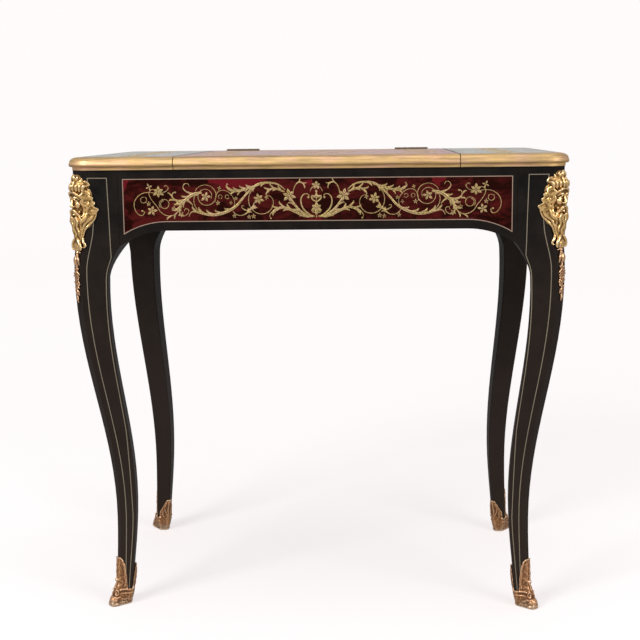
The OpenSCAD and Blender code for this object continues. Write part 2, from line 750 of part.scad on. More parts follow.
module centre_lid_board() {
    color(oak) difference() {
        centre_block(-half_d + edge_w, centre_axis_y - lid_gap / 2, lid_z, table_h - sheet_t);
        centre_hinges_room();
        translate([-mirror_w / 2 - rim_over, mirror_y - rim_over, lid_z - eps])
            cube([mirror_w + 2 * rim_over, mirror_d + 2 * rim_over, rim_t + eps]);
    }
}

module centre_lid_sheet() {
    color(shell) difference() {
        centre_block(-half_d + edge_w, centre_axis_y - lid_gap / 2, table_h - sheet_t, table_h);
        centre_hinges_room();
    }
}

module centre_lid_edge() { color(gilt) edge_run(-lid_half, lid_half); }

module rear_strip() {
    color(oak) difference() {
        centre_block(centre_axis_y + lid_gap / 2, half_d - edge_w, frame_top, table_h - sheet_t);
        centre_hinges_room();
    }
}

module rear_strip_sheet() {
    color(shell) difference() {
        centre_block(centre_axis_y + lid_gap / 2, half_d - edge_w, table_h - sheet_t, table_h);
        centre_hinges_room();
    }
}

module rear_strip_edge() { color(gilt) rotate([0, 0, 180]) edge_run(-lid_half, lid_half); }

// Mirror in a rebated frame, let into the underside of the centre lid
rebate = 4;
rim_over = mirror_rim - rebate;
lip_t = 2;
rim_t = lip_t + mirror_t;
mirror_y = (-half_d + edge_w + centre_axis_y - mirror_d) / 2;

module mirror_frame() {
    color(gilt) difference() {
        translate([-mirror_w / 2 - rim_over, mirror_y - rim_over, lid_z])
            cube([mirror_w + 2 * rim_over, mirror_d + 2 * rim_over, rim_t]);
        translate([-mirror_w / 2, mirror_y, lid_z + lip_t]) cube([mirror_w, mirror_d, rim_t]);
        translate([-mirror_w / 2 + rebate, mirror_y + rebate, lid_z - eps])
            cube([mirror_w - 2 * rebate, mirror_d - 2 * rebate, rim_t]);
    }
}

module mirror_plate() {
    color("lightsteelblue") translate([-mirror_w / 2, mirror_y, lid_z + lip_t])
        cube([mirror_w, mirror_d, mirror_t]);
}

// Hinges, drawn with the pin along X at the origin
knuckles = 5;
knuckle_l = hinge_l / knuckles;
screws = 3;
head_r = 2.4;
head_h = head_r - screw_r;

// Places of the screws in a leaf that reaches towards reach
function screw_spots(reach) = [for (i = [0:screws - 1])
    [hinge_l * (i - (screws - 1) / 2) / (screws + 0.4), reach * leaf_w * (i % 2 == 0 ? 0.84 : 0.74)]];

// One countersunk screw, head flush at the origin and shank down
module hinge_screw(room = 0) {
    translate([0, 0, -head_h]) cylinder(r1 = screw_r + room, r2 = head_r + room, 
        h = head_h + (room > 0 ? eps : 0));
    translate([0, 0, -screw_l - room]) cylinder(r = screw_r + room, h = screw_l - head_h + room + eps);
    if (room > 0) cylinder(r = head_r + room, h = rest_gap + leaf_t);
}

module leaf_screws(reach, face, down, room = 0) {
    for (p = screw_spots(reach)) translate([p[0], p[1], face]) mirror([0, 0, down ? 0 : 1]) difference() {
        hinge_screw(room);
        if (room == 0) translate([-head_r, -0.3, -0.5]) cube([2 * head_r, 0.6, 1]);
    }
}

// A leaf towards reach between heights low and low + leaf_t, with every second knuckle from first
module hinge_leaf(reach, low, first, face, down) {
    difference() {
        union() {
            difference() {
                translate([-hinge_l / 2, reach > 0 ? 0 : -leaf_w, low]) cube([hinge_l, leaf_w, leaf_t]);
                rotate([0, 90, 0]) cylinder(r = barrel_r + knuckle_gap, h = hinge_l + 1, center = true);
            }
            for (k = [first:2:knuckles - 1])
                translate([-hinge_l / 2 + k * knuckle_l + knuckle_gap / 2, 0, 0]) {
                rotate([0, 90, 0]) cylinder(r = barrel_r, h = knuckle_l - knuckle_gap);
                translate([0, reach > 0 ? 0 : -barrel_r - 1, low])
                    cube([knuckle_l - knuckle_gap, barrel_r + 1, leaf_t]);
            }
        }
        rotate([0, 90, 0]) cylinder(r = pin_r + pin_clear, h = hinge_l + 1, center = true);
        leaf_screws(reach, face, down, seat_gap);
    }
}

module hinge_pin() {
    rotate([0, 90, 0]) cylinder(r = pin_r, h = hinge_l, center = true);
}

// What a leaf and its barrel take out of the wood, brass and sheet round them
module leaf_room(reach, low, face, down) {
    y = reach > 0 ? 0 : -leaf_w - seat_gap;
    translate([-hinge_l / 2 - seat_gap, y, low - (down ? seat_gap : rest_gap)])
        cube([hinge_l + 2 * seat_gap, leaf_w + seat_gap, leaf_t + seat_gap + rest_gap]);
    leaf_screws(reach, face, down, seat_gap);
}

module barrel_space() {
    rotate([0, 90, 0]) cylinder(r = barrel_r + barrel_room, h = hinge_l + 2 * barrel_room, center = true);
}

// Flat hinges of the centre lid, leaves flush with the top
flat_low = -axis_rise - leaf_t;
flat_face = -axis_rise;

module at_centre_hinges() {
    for (side = [-1, 1]) translate([side * centre_hinge_x, centre_axis_y, centre_axis_z]) children();
}

module centre_hinges_room() {
    at_centre_hinges() {
        leaf_room(-1, flat_low, flat_face, true);
        leaf_room(1, flat_low, flat_face, true);
        barrel_space();
    }
}

// Folded hinges of a side lid: pin along Y, one leaf under the lid and one on the apron
fold_low = -rest_gap / 2 - leaf_t;
fold_high = rest_gap / 2;

module at_left_hinges() {
    for (side = [-1, 1]) translate([-side_axis_x, side * side_hinge_y, side_axis_z])
        rotate([0, 0, -90]) children();
}

module left_hinges_room() {
    at_left_hinges() {
        leaf_room(1, fold_low, fold_low + leaf_t, true);
        leaf_room(1, fold_high, fold_high, false);
        barrel_space();
    }
}

module left_fixed_leaves() {
    at_left_hinges() hinge_leaf(1, fold_low, 0, fold_low + leaf_t, true);
}

module fixed_hinge_leaves() {
    color(bronze) {
        at_centre_hinges() hinge_leaf(1, flat_low, 0, flat_face, true);
        left_fixed_leaves();
        mirror([1, 0, 0]) left_fixed_leaves();
    }
}

module centre_lid_hinge_leaves() {
    color(bronze) at_centre_hinges() hinge_leaf(-1, flat_low, 1, flat_face, true);
}

module left_lid_hinge_leaves() {
    color(bronze) at_left_hinges() hinge_leaf(1, fold_high, 1, fold_high, false);
}

module right_lid_hinge_leaves() { mirror([1, 0, 0]) left_lid_hinge_leaves(); }

module hinge_pins() {
    color(steel) {
        at_centre_hinges() hinge_pin();
        at_left_hinges() hinge_pin();
        mirror([1, 0, 0]) at_left_hinges() hinge_pin();
    }
}

module fixed_hinge_screws() {
    color(bronze) {
        at_centre_hinges() leaf_screws(1, flat_face, true);
        for (side = [0, 1]) mirror([side, 0, 0]) at_left_hinges() leaf_screws(1, fold_low + leaf_t, true);
    }
}

module centre_lid_screws() {
    color(bronze) at_centre_hinges() leaf_screws(-1, flat_face, true);
}

module left_lid_screws() {
    color(bronze) at_left_hinges() leaf_screws(1, fold_high, false);
}

module right_lid_screws() { mirror([1, 0, 0]) left_lid_screws(); }

front_left_leg();
front_right_leg();
back_left_leg();
back_right_leg();
front_apron();
back_apron();
left_apron();
right_apron();
front_panel();
back_panel();
left_panel();
right_panel();
panel_lines();
front_scrollwork();
back_scrollwork();
left_scrollwork();
right_scrollwork();
leg_lines();
front_left_mask();
front_right_mask();
back_left_mask();
back_right_mask();
front_left_drop();
front_right_drop();
back_left_drop();
back_right_drop();
front_left_shoe();
front_right_shoe();
back_left_shoe();
back_right_shoe();
shoe_screws();
bottom_board();
board_cleats();
left_partition();
right_partition();
rear_strip();
rear_strip_sheet();
rear_strip_edge();
centre_lid_board();
centre_lid_sheet();
centre_lid_edge();
mirror_frame();
mirror_plate();
left_lid_board();
left_lid_sheet();
left_lid_edge();
right_lid_board();
right_lid_sheet();
right_lid_edge();
fixed_hinge_leaves();
centre_lid_hinge_leaves();
left_lid_hinge_leaves();
right_lid_hinge_leaves();
hinge_pins();
fixed_hinge_screws();
centre_lid_screws();
left_lid_screws();
right_lid_screws();
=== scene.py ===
import json
import math
from contextlib import contextmanager

import bmesh
import bpy
import numpy as np
from bpy.props import FloatProperty, FloatVectorProperty, IntProperty, PointerProperty
from mathutils import Matrix, Vector
from mathutils.bvhtree import BVHTree

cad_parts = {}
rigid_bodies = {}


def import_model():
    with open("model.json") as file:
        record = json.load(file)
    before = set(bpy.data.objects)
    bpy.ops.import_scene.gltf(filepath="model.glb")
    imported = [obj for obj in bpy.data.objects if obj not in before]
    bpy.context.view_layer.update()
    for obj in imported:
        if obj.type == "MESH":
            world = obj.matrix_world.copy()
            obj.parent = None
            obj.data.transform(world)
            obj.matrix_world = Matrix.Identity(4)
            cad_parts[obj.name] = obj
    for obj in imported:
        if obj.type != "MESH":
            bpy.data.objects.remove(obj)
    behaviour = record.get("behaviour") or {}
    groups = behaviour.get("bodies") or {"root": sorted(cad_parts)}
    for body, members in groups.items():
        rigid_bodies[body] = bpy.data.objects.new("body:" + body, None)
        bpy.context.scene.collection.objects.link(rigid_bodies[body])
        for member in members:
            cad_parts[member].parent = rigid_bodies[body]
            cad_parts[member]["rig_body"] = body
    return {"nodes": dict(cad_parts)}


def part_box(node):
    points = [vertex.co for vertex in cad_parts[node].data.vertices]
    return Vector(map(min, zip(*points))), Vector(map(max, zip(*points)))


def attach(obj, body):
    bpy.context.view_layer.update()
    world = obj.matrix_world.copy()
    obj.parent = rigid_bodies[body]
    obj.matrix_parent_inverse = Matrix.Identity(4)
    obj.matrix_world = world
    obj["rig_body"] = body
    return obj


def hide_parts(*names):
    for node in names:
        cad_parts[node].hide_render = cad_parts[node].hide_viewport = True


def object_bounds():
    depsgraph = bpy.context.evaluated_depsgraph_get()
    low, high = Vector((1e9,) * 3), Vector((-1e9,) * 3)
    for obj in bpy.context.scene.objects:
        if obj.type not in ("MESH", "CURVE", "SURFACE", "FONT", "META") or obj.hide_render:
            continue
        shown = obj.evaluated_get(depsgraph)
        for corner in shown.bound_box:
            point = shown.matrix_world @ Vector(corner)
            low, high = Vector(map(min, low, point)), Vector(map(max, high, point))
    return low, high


bl_info = {
    "name": "Shell and Brass Writing Table",
    "version": (1, 0, 0),
    "blender": (4, 5, 0),
    "location": "View3D > Sidebar > Table",
    "description": "Dresses a cabriole writing table in ebonised wood, red shell, brass inlay and gilt mounts",
    "category": "Add Mesh",
}

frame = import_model()
CAD_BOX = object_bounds()
NODES = frame["nodes"]
MM = 0.001
CORNERS = {"front_left": (1, 1), "front_right": (-1, 1), "back_left": (1, -1), "back_right": (-1, -1)}
SIDES = ("front", "back", "left", "right")
LIDS = ("centre_lid", "left_lid", "right_lid")
LEFT, TOP = CAD_BOX[0].x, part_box("centre_lid_sheet")[1].z
SEAM = (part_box("centre_lid_sheet")[1].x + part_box("right_lid_sheet")[0].x) / 2
# painted shade: a dark line on the lids at each seam, standing for the shade in the gap between them
SEAM_SHADE_HALF = 2.2 * MM  # half width of the dark line on the lids at each seam
LAMPS = {  # place, size and power
    "key": ((-2.2, -2.6, 2.6), 1.4, 80.0),
    "fill": ((2.4, -2.4, 1.8), 1.6, 42.0),
    "top": ((0.2, -0.4, 3.2), 2.0, 16.0),
}
LAMPS_AIM = Vector((0, 0, 0.45))
CAMERA_PLACE = Vector((0.0890, -2.1319, 0.7841))
CAMERA_YAW, CAMERA_PITCH, CAMERA_ROLL = -0.045173, -0.156115, -0.010873
CAMERA_LENS, CAMERA_SENSOR = 68.84, 36.0


# Settings that a user would change

def length(name, default, description):
    return FloatProperty(name=name, description=description, default=default, min=0, unit="LENGTH", precision=5)


def colour(name, default, description):
    return FloatVectorProperty(name=name, description=description, default=default, size=3, min=0, max=1,
                               subtype="COLOR")


class TableSizes(bpy.types.PropertyGroup):
    scroll_rise: length("Scroll rise", 0.42 * MM, "Height of the brass scrolls over the shell")
    lid_rise: length("Lid scroll rise", 0.2 * MM, "Height of the brass scrolls over the lids")
    cast_voxel: length("Casting grain", 0.75 * MM, "Finest detail kept in the gilt castings")
    shoe_voxel: length("Shoe grain", 0.7 * MM, "Finest detail kept in the shoes")
    arris: length("Arris", 0.9 * MM, "Softness of the wooden edges")
    petals: IntProperty(name="Petals", description="Petals of each brass flower", default=6, min=4, max=9)


class TableColours(bpy.types.PropertyGroup):
    wood: colour("Ebonised wood", (0.0135, 0.0084, 0.0062), "Black stain of the legs and aprons")
    # rubbed stain on the edges, also used as a painted highlight along the wooden arrises
    wood_wear_and_highlight: colour("Worn wood", (0.085, 0.075, 0.060), "Stain rubbed off the edges")
    shell_dark: colour("Shell clouds", (0.0150, 0.0022, 0.0011), "Dark clouds in the shell")
    shell_mid: colour("Shell", (0.070, 0.0070, 0.0060), "Main red of the shell")
    shell_bright: colour("Shell lights", (0.130, 0.0075, 0.0110), "Bright red patches")
    inlay: colour("Inlay brass", (0.82, 0.60, 0.22), "Scrolls in the shell")
    inlay_pink: colour("Rubbed inlay", (0.82, 0.53, 0.36), "Pinker patches of the scrolls")
    stringing: colour("Stringing", (0.33, 0.27, 0.19), "Pale lines down the legs")
    border: colour("Border line", (0.52, 0.36, 0.27), "Pinkish lines round the shell panels")
    edge: colour("Edge brass", (0.80, 0.53, 0.235), "Moulding round the top")
    edge_brown: colour("Edge tarnish", (0.20, 0.085, 0.03), "Brown in the moulding's groove")
    gilt: colour("Gilding", (1.0, 0.60, 0.21), "Gilt masks")
    gilt_hollow: colour("Gilding hollows", (0.070, 0.030, 0.008), "Brown in the hollows of the masks")
    rose: colour("Rose gilding", (0.80, 0.44, 0.22), "Coppery drops")
    shoe: colour("Shoe bronze", (0.70, 0.33, 0.14), "Worn bronze of the shoes")
    # rubbed bronze on the toes, also the painted highlight on the shoes' high places
    shoe_rub_and_highlight: colour("Rubbed bronze", (0.86, 0.62, 0.42), "Rubbed toes")
    oak: colour("Oak", (0.26, 0.135, 0.06), "Wood inside the table")
    floor: colour("Floor", (0.45, 0.44, 0.435), "Plain pale floor")


def sizes():
    return bpy.context.scene.table_sizes


def colours():
    return bpy.context.scene.table_colours


def rgba(name):
    return (*getattr(colours(), name), 1.0)


# Node trees

def feed(tree, socket, value):
    """Links a socket to another one, or sets its value."""
    if isinstance(value, bpy.types.NodeSocket):
        tree.links.new(value, socket)
    else:
        socket.default_value = value


def add(tree, kind, settings=None, **inputs):
    """Adds a node. Underscores in an input's name stand for spaces, and in1 is the second input."""
    made = tree.nodes.new(kind)
    for key, value in (settings or {}).items():
        setattr(made, key, value)
    for key, value in inputs.items():
        numbered = key[:2] == "in" and key[2:].isdigit()
        feed(tree, made.inputs[int(key[2:]) if numbered else key.replace("_", " ")], value)
    return made


def ramp(tree, value, stops, smooth=False):
    """Turns a value into tones, given as (place, grey or colour)."""
    made = add(tree, "ShaderNodeValToRGB", Fac=value)
    made.color_ramp.interpolation = "EASE" if smooth else "LINEAR"
    while len(made.color_ramp.elements) < len(stops):
        made.color_ramp.elements.new(0.5)
    for element, (place, tone) in zip(made.color_ramp.elements, stops):
        element.position = place
        element.color = tone if hasattr(tone, "__len__") else (tone, tone, tone, 1)
    return made.outputs["Color"]


def mixed(tree, factor, a, b):
    """Colour a, turned into b by the factor."""
    return add(tree, "ShaderNodeMix", {"data_type": "RGBA"}, in0=factor, in6=a, in7=b).outputs[2]


def math_node(tree, operation, *values):
    return add(tree, "ShaderNodeMath", {"operation": operation},
               **{f"in{place}": value for place, value in enumerate(values)}).outputs[0]


def times(tree, a, b):
    return math_node(tree, "MULTIPLY", a, b)


def tinted(tree, base, mask, share, tone):
    """The base, turned towards a tone by a share of the mask."""
    return mixed(tree, times(tree, mask, share), base, tone)


def object_place(tree):
    return add(tree, "ShaderNodeTexCoord").outputs["Object"]


def coordinate(tree, axis):
    return add(tree, "ShaderNodeSeparateXYZ", Vector=object_place(tree)).outputs[axis]


def stretched(tree, scale=(1, 1, 1), turn=(0, 0, 0)):
    return add(tree, "ShaderNodeMapping", Vector=object_place(tree), Scale=scale, Rotation=turn).outputs["Vector"]


def noise(tree, vector, scale, detail=4.0, roughness=0.5, distortion=0.0):
    return add(tree, "ShaderNodeTexNoise", Vector=vector, Scale=scale, Detail=detail, Roughness=roughness,
               Distortion=distortion).outputs["Fac"]


def bumped(tree, height, strength, distance, **normal):
    return add(tree, "ShaderNodeBump", Height=height, Strength=strength, Distance=distance, **normal).outputs["Normal"]


def group(name, inputs, outputs, fill):
    """A node group that is built once: fill draws its inside from the inputs and returns the outputs."""
    if name in bpy.data.node_groups:
        return bpy.data.node_groups[name]
    made = bpy.data.node_groups.new(name, "ShaderNodeTree")
    for key, value in inputs.items():
        kind = "NodeSocketColor" if isinstance(value, tuple) else "NodeSocketFloat"
        made.interface.new_socket(name=key, in_out="INPUT", socket_type=kind).default_value = value
    for key, kind in outputs.items():
        made.interface.new_socket(name=key, in_out="OUTPUT", socket_type="NodeSocket" + kind)
    way_in, way_out = made.nodes.new("NodeGroupInput"), made.nodes.new("NodeGroupOutput")
    for key, socket in fill(made, way_in.outputs).items():
        made.links.new(socket, way_out.inputs[key])
    return made


def use(tree, made, **inputs):
    return add(tree, "ShaderNodeGroup", {"node_tree": made}, **inputs).outputs


def patina():
    """Broad clouds, fine specks and thin scratches that break up any finish."""
    def fill(tree, given):
        place = stretched(tree)
        cloud = noise(tree, place, given["Scale"], 5, 0.6)
        fine = noise(tree, place, times(tree, given["Scale"], 14.0), 3, 0.7)
        brushed = stretched(tree, (1.0, 30.0, 30.0), (0.3, 0.2, 0.1))
        streak = noise(tree, brushed, times(tree, given["Scale"], 2.0), 2, 0.5)
        return {"Cloud": ramp(tree, cloud, [(0.35, 0), (0.65, 1)]), "Speck": ramp(tree, fine, [(0.60, 0), (0.75, 1)]),
                "Streak": ramp(tree, streak, [(0.40, 0), (0.70, 1)])}
    return group("patina", {"Scale": 30.0}, {"Cloud": "Float", "Speck": "Float", "Streak": "Float"}, fill)


def edge_wear():
    """Normals rounded over the edges, and a mask of the edges themselves, broken up by noise."""
    def fill(tree, given):
        soft = add(tree, "ShaderNodeBevel", {"samples": 4}, Radius=given["Radius"]).outputs["Normal"]
        true = add(tree, "ShaderNodeNewGeometry").outputs["True Normal"]
        near = add(tree, "ShaderNodeVectorMath", {"operation": "DOT_PRODUCT"}, in0=soft, in1=true).outputs["Value"]
        rough = noise(tree, stretched(tree), 160.0, 4, 0.6)
        edge = times(tree, ramp(tree, near, [(0.80, 1), (0.995, 0)]), ramp(tree, rough, [(0.35, 0.15), (0.65, 1)]))
        return {"Edge": edge, "Normal": soft}
    return group("edge_wear", {"Radius": 0.0009}, {"Edge": "Float", "Normal": "Vector"}, fill)


def casting():
    """Masks of a casting's hollows and high places, from the attribute that the mesh carries."""
    def fill(tree, given):
        depth = add(tree, "ShaderNodeAttribute", {"attribute_name": "hollow"}).outputs["Fac"]
        spots = math_node(tree, "SUBTRACT", noise(tree, stretched(tree), 420.0, 3, 0.6), 0.5)
        shifted = math_node(tree, "ADD", depth, times(tree, spots, given["Spots"]))
        return {"Hollow": ramp(tree, shifted, [(0.40, 0), (0.58, 1)], True),
                "High": ramp(tree, shifted, [(0.24, 1), (0.50, 0)], True)}
    return group("casting", {"Spots": 0.25}, {"Hollow": "Float", "High": "Float"}, fill)


def shell_figure():
    """Plates of red shell: most are dark and clouded, some plain and bright, with sharp joins between them."""
    def fill(tree, given):
        dark_tone, mid, bright = given["Dark"], given["Mid"], given["Bright"]
        skewed = stretched(tree, (1.0, 1.0, 1.5), (0.1, 0.55, 0.2))
        cells = add(tree, "ShaderNodeTexVoronoi", {"distance": "MANHATTAN"}, Vector=skewed, Scale=given["Plates"])
        plate = add(tree, "ShaderNodeSeparateColor", Color=cells.outputs["Color"]).outputs
        cloud = noise(tree, stretched(tree, (1.0, 1.0, 2.2), (0.5, 0.7, 0.3)), 24.0, 7, 0.66, 0.7)
        dapple = noise(tree, stretched(tree), 90.0, 4, 0.65, 0.3)
        dark = ramp(tree, math_node(tree, "ADD", cloud, times(tree, plate["Red"], 0.20)), [(0.50, 0), (0.68, 1)])
        base = mixed(tree, ramp(tree, dapple, [(0.56, 0), (0.72, 0.7)]), mid, bright)
        base = mixed(tree, dark, base, dark_tone)
        veined = mixed(tree, ramp(tree, cloud, [(0.58, 0), (0.70, 0.75)]), bright, mid)
        base = mixed(tree, ramp(tree, plate["Green"], [(0.78, 0), (0.80, 1)]), base, veined)
        fleck = noise(tree, stretched(tree, (1.0, 1.0, 6.0), (0.2, 1.1, 0.4)), 170.0, 2, 0.5)
        base = tinted(tree, base, ramp(tree, fleck, [(0.68, 0), (0.74, 1)]), 0.45, bright)
        return {"Color": base, "Shine": mixed(tree, dark, (0.30, 0.30, 0.30, 1), (0.24, 0.24, 0.24, 1))}
    red = (0.1, 0.01, 0.01, 1.0)
    return group("shell_figure", {"Dark": red, "Mid": red, "Bright": red, "Plates": 12.0},
                 {"Color": "Color", "Shine": "Float"}, fill)


def material(name, **sockets):
    """A material with its Principled shader's own sockets set."""
    made = bpy.data.materials.new(name)
    made.use_nodes = True
    shader = made.node_tree.nodes["Principled BSDF"]
    plug(made.node_tree, shader, **sockets)
    return made, made.node_tree, shader


def plug(tree, shader, **inputs):
    """Feeds a shader's sockets. Underscores in a name stand for spaces."""
    for key, value in inputs.items():
        feed(tree, shader.inputs[key.replace("_", " ")], value)


def darker(tone, share):
    return (*(channel * share for channel in tone[:3]), 1.0)


def shade(name, share):
    """A colour of the list, made darker by a share."""
    return darker(rgba(name), share)


def ebonised_wood():
    """Black-stained wood, worn along its edges and given a painted highlight there, with painted light and shade by
    height: dark under the top, paler towards the feet.
    """
    made, tree, shader = material("ebonised_wood", Specular_IOR_Level=0.14, Coat_Weight=0.02, Coat_Roughness=0.3)
    marks, edges = use(tree, patina(), Scale=22.0), use(tree, edge_wear(), Radius=sizes().arris)
    grain = noise(tree, stretched(tree, (60.0, 60.0, 2.5)), 14.0, 4, 0.6)
    # painted light and shade by height: the wood near black under the top and paler towards the feet
    shaded_by_height = ramp(tree, coordinate(tree, "Z"), [(0.15, shade("wood", 1.9)), (0.42, shade("wood", 1.3)),
                                               (0.57, shade("wood", 0.8)), (0.66, shade("wood", 0.12))])
    tone = tinted(tree, shaded_by_height, marks["Cloud"], 0.35, (0.030, 0.020, 0.014, 1))
    # rubbed stain along the edges, which is also a painted highlight on the arrises
    tone = tinted(tree, tone, edges["Edge"], 0.55, rgba("wood_wear_and_highlight"))
    tone = tinted(tree, tone, marks["Speck"], 0.05, rgba("wood_wear_and_highlight"))
    plug(tree, shader, Base_Color=tone, Roughness=ramp(tree, marks["Streak"], [(0, 0.44), (1, 0.58)]),
         Normal=bumped(tree, grain, 0.06, 0.0004, Normal=edges["Normal"]))
    return made


def oak():
    made, tree, shader = material("oak", Specular_IOR_Level=0.3)
    rings = noise(tree, stretched(tree, (3.0, 45.0, 45.0)), 7.0, 6, 0.6, 0.4)
    plug(tree, shader, Base_Color=ramp(tree, rings, [(0.30, shade("oak", 0.55)), (0.68, rgba("oak"))]),
         Roughness=ramp(tree, rings, [(0.3, 0.62), (0.7, 0.5)]), Normal=bumped(tree, rings, 0.15, 0.0005))
    return made


def lid_sheen_and_seam_shade(tree, shader):
    """Sheen on the lids as a painted reflection: pink over the middle, grey at the sides. Returns a mask of the painted
    shade line at each seam.
    """
    across = math_node(tree, "ABSOLUTE", coordinate(tree, "X"))
    side = math_node(tree, "GREATER_THAN", across, SEAM)
    plug(tree, shader, Sheen_Weight=1.0, Sheen_Roughness=0.25,
         Sheen_Tint=mixed(tree, side, (0.95, 0.68, 0.66, 1), (0.84, 0.83, 0.76, 1)))
    from_seam = math_node(tree, "ABSOLUTE", math_node(tree, "SUBTRACT", across, SEAM))
    return math_node(tree, "LESS_THAN", from_seam, SEAM_SHADE_HALF)


def shell(name="red_shell", on_lid=False):
    made, tree, shader = material(name, Specular_IOR_Level=0.5 if on_lid else 0.06)
    figure = use(tree, shell_figure(), Dark=rgba("shell_dark"), Mid=rgba("shell_mid"), Bright=rgba("shell_bright"),
                 Plates=13.0)
    tone = figure["Color"]
    if on_lid:
        seam_shade_mask = lid_sheen_and_seam_shade(tree, shader)
        # painted shade along each seam between the lids
        tone = mixed(tree, seam_shade_mask, tone, (0.004, 0.002, 0.002, 1))
        plug(tree, shader, Sheen_Weight=math_node(tree, "SUBTRACT", 1.0, seam_shade_mask))
    plug(tree, shader, Base_Color=tone, Roughness=figure["Shine"])
    return made


def brass(name, tone, dull, metallic=0.85):
    """Worked brass: streaked, clouded and a little rubbed at its edges."""
    made, tree, shader = material(name, Metallic=metallic)
    marks, edges = use(tree, patina(), Scale=40.0), use(tree, edge_wear(), Radius=0.0004)
    base = tinted(tree, tone, marks["Cloud"], 0.45, dull)
    base = tinted(tree, base, marks["Streak"], 0.35, dull)
    plug(tree, shader, Base_Color=base, Roughness=ramp(tree, marks["Cloud"], [(0, 0.26), (1, 0.42)]),
         Normal=edges["Normal"])
    return made


def engraved_brass(name="inlay_brass", on_lid=False):
    """Let-in brass: yellow leaves with a dark line cut down their middle, pinker where rubbed thin."""
    made, tree, shader = material(name, Metallic=0.7)
    marks = use(tree, patina(), Scale=60.0)
    middle = add(tree, "ShaderNodeAttribute", {"attribute_name": "hollow"}).outputs["Fac"]
    base = tinted(tree, rgba("inlay"), marks["Cloud"], 0.6, rgba("inlay_pink"))
    base = tinted(tree, base, marks["Speck"], 0.4, shade("inlay", 0.45))
    cuts = ramp(tree, noise(tree, stretched(tree), 380.0, 3, 0.6), [(0.44, 0), (0.60, 0.75)])
    base = mixed(tree, cuts, base, shade("inlay", 0.36))
    base = tinted(tree, base, ramp(tree, middle, [(0.15, 0), (0.6, 1)]), 0.8, shade("inlay", 0.12))
    if on_lid:
        # the lids' sheen, a painted reflection, laid over the brass too
        lid_sheen_and_seam_shade(tree, shader)
    plug(tree, shader, Base_Color=base, Roughness=ramp(tree, marks["Cloud"], [(0, 0.34), (1, 0.5)]))
    return made


def edge_brass():
    """Drawn moulding: rubbed gold with pink patches, darker brown bands at set heights, streaks along its length."""
    made, tree, shader = material("edge_brass", Metallic=0.8)
    marks, edges = use(tree, patina(), Scale=26.0), use(tree, edge_wear(), Radius=0.0005)
    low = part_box("centre_lid_edge")[0].z
    up = times(tree, math_node(tree, "SUBTRACT", coordinate(tree, "Z"), low), 1 / (TOP - low))
    # darker brown bands at set heights of the moulding, strongest at its foot
    groove = ramp(tree, up, [(0.0, 0.8), (0.06, 0.1), (0.26, 0.1), (0.31, 0.7), (0.36, 0.6), (0.40, 0.05), (0.62, 0.0),
                             (0.665, 0.6), (0.70, 0.1), (0.86, 0.0), (0.97, 0.35)])
    worn = noise(tree, stretched(tree, (22.0, 22.0, 260.0)), 1.0, 5, 0.65)
    streaks = noise(tree, stretched(tree, (16.0, 16.0, 330.0)), 1.0, 5, 0.65)
    blush = noise(tree, stretched(tree, (24.0, 24.0, 110.0)), 1.0, 4, 0.6)
    base = tinted(tree, rgba("edge"), ramp(tree, blush, [(0.46, 0), (0.58, 1)]), 0.6, (0.84, 0.50, 0.33, 1))
    base = tinted(tree, base, ramp(tree, streaks, [(0.46, 0), (0.60, 1)]), 0.7, shade("edge", 0.55))
    brown_banding = times(tree, groove, ramp(tree, worn, [(0.30, 0.45), (0.60, 1.0)]))
    base = tinted(tree, base, brown_banding, 0.52, rgba("edge_brown"))
    base = tinted(tree, base, marks["Speck"], 0.25, rgba("edge_brown"))
    plug(tree, shader, Base_Color=base, Roughness=ramp(tree, marks["Cloud"], [(0, 0.44), (1, 0.58)]),
         Normal=bumped(tree, worn, 0.12, 0.0006, Normal=edges["Normal"]))
    return made


def cast_metal(name, tone, hollow, high, metallic=0.85, rough=(0.24, 0.5), spots=0.25, rubbed=0.0):
    """Cast and gilt bronze: brown in its hollows, with painted highlights on its high places, and paler up to a rubbed
    height, partly wear and partly painted highlight.
    """
    made, tree, shader = material(name, Metallic=metallic)
    marks, form = use(tree, patina(), Scale=60.0), use(tree, casting(), Spots=spots)
    base = tinted(tree, tone, marks["Cloud"], 0.3, darker(tone, 0.78))
    # painted highlight on the high places
    base = tinted(tree, base, form["High"], 0.75, high)
    # paler up to the rubbed height: wear on the toes, with a painted highlight there too
    if rubbed:
        uneven = times(tree, math_node(tree, "SUBTRACT", marks["Cloud"], 0.5), rubbed)
        up = math_node(tree, "DIVIDE", math_node(tree, "ADD", coordinate(tree, "Z"), uneven), rubbed)
        base = mixed(tree, ramp(tree, up, [(0.25, 0.85), (1.0, 0)]), base, high)
    base = tinted(tree, base, form["Hollow"], 0.88, hollow)
    fine = noise(tree, stretched(tree), 900.0, 2, 0.5)
    plug(tree, shader, Base_Color=base, Roughness=ramp(tree, form["Hollow"], [(0, rough[0]), (1, rough[1])]),
         Normal=bumped(tree, fine, 0.12, 0.0003))
    return made


def plain_metal(name, tone, rough):
    made, tree, shader = material(name, Metallic=1.0)
    marks = use(tree, patina(), Scale=70.0)
    plug(tree, shader, Base_Color=tinted(tree, tone, marks["Cloud"], 0.5, darker(tone, 0.5)),
         Roughness=ramp(tree, marks["Cloud"], [(0, rough), (1, rough + 0.15)]))
    return made


def mirror_glass():
    made, tree, shader = material("mirror_glass", Metallic=1.0)
    marks = use(tree, patina(), Scale=16.0)
    plug(tree, shader, Roughness=ramp(tree, marks["Cloud"], [(0, 0.015), (1, 0.04)]),
         Base_Color=tinted(tree, (0.86, 0.88, 0.88, 1), marks["Speck"], 0.15, (0.5, 0.5, 0.48, 1)))
    return made


FINISHES = {}


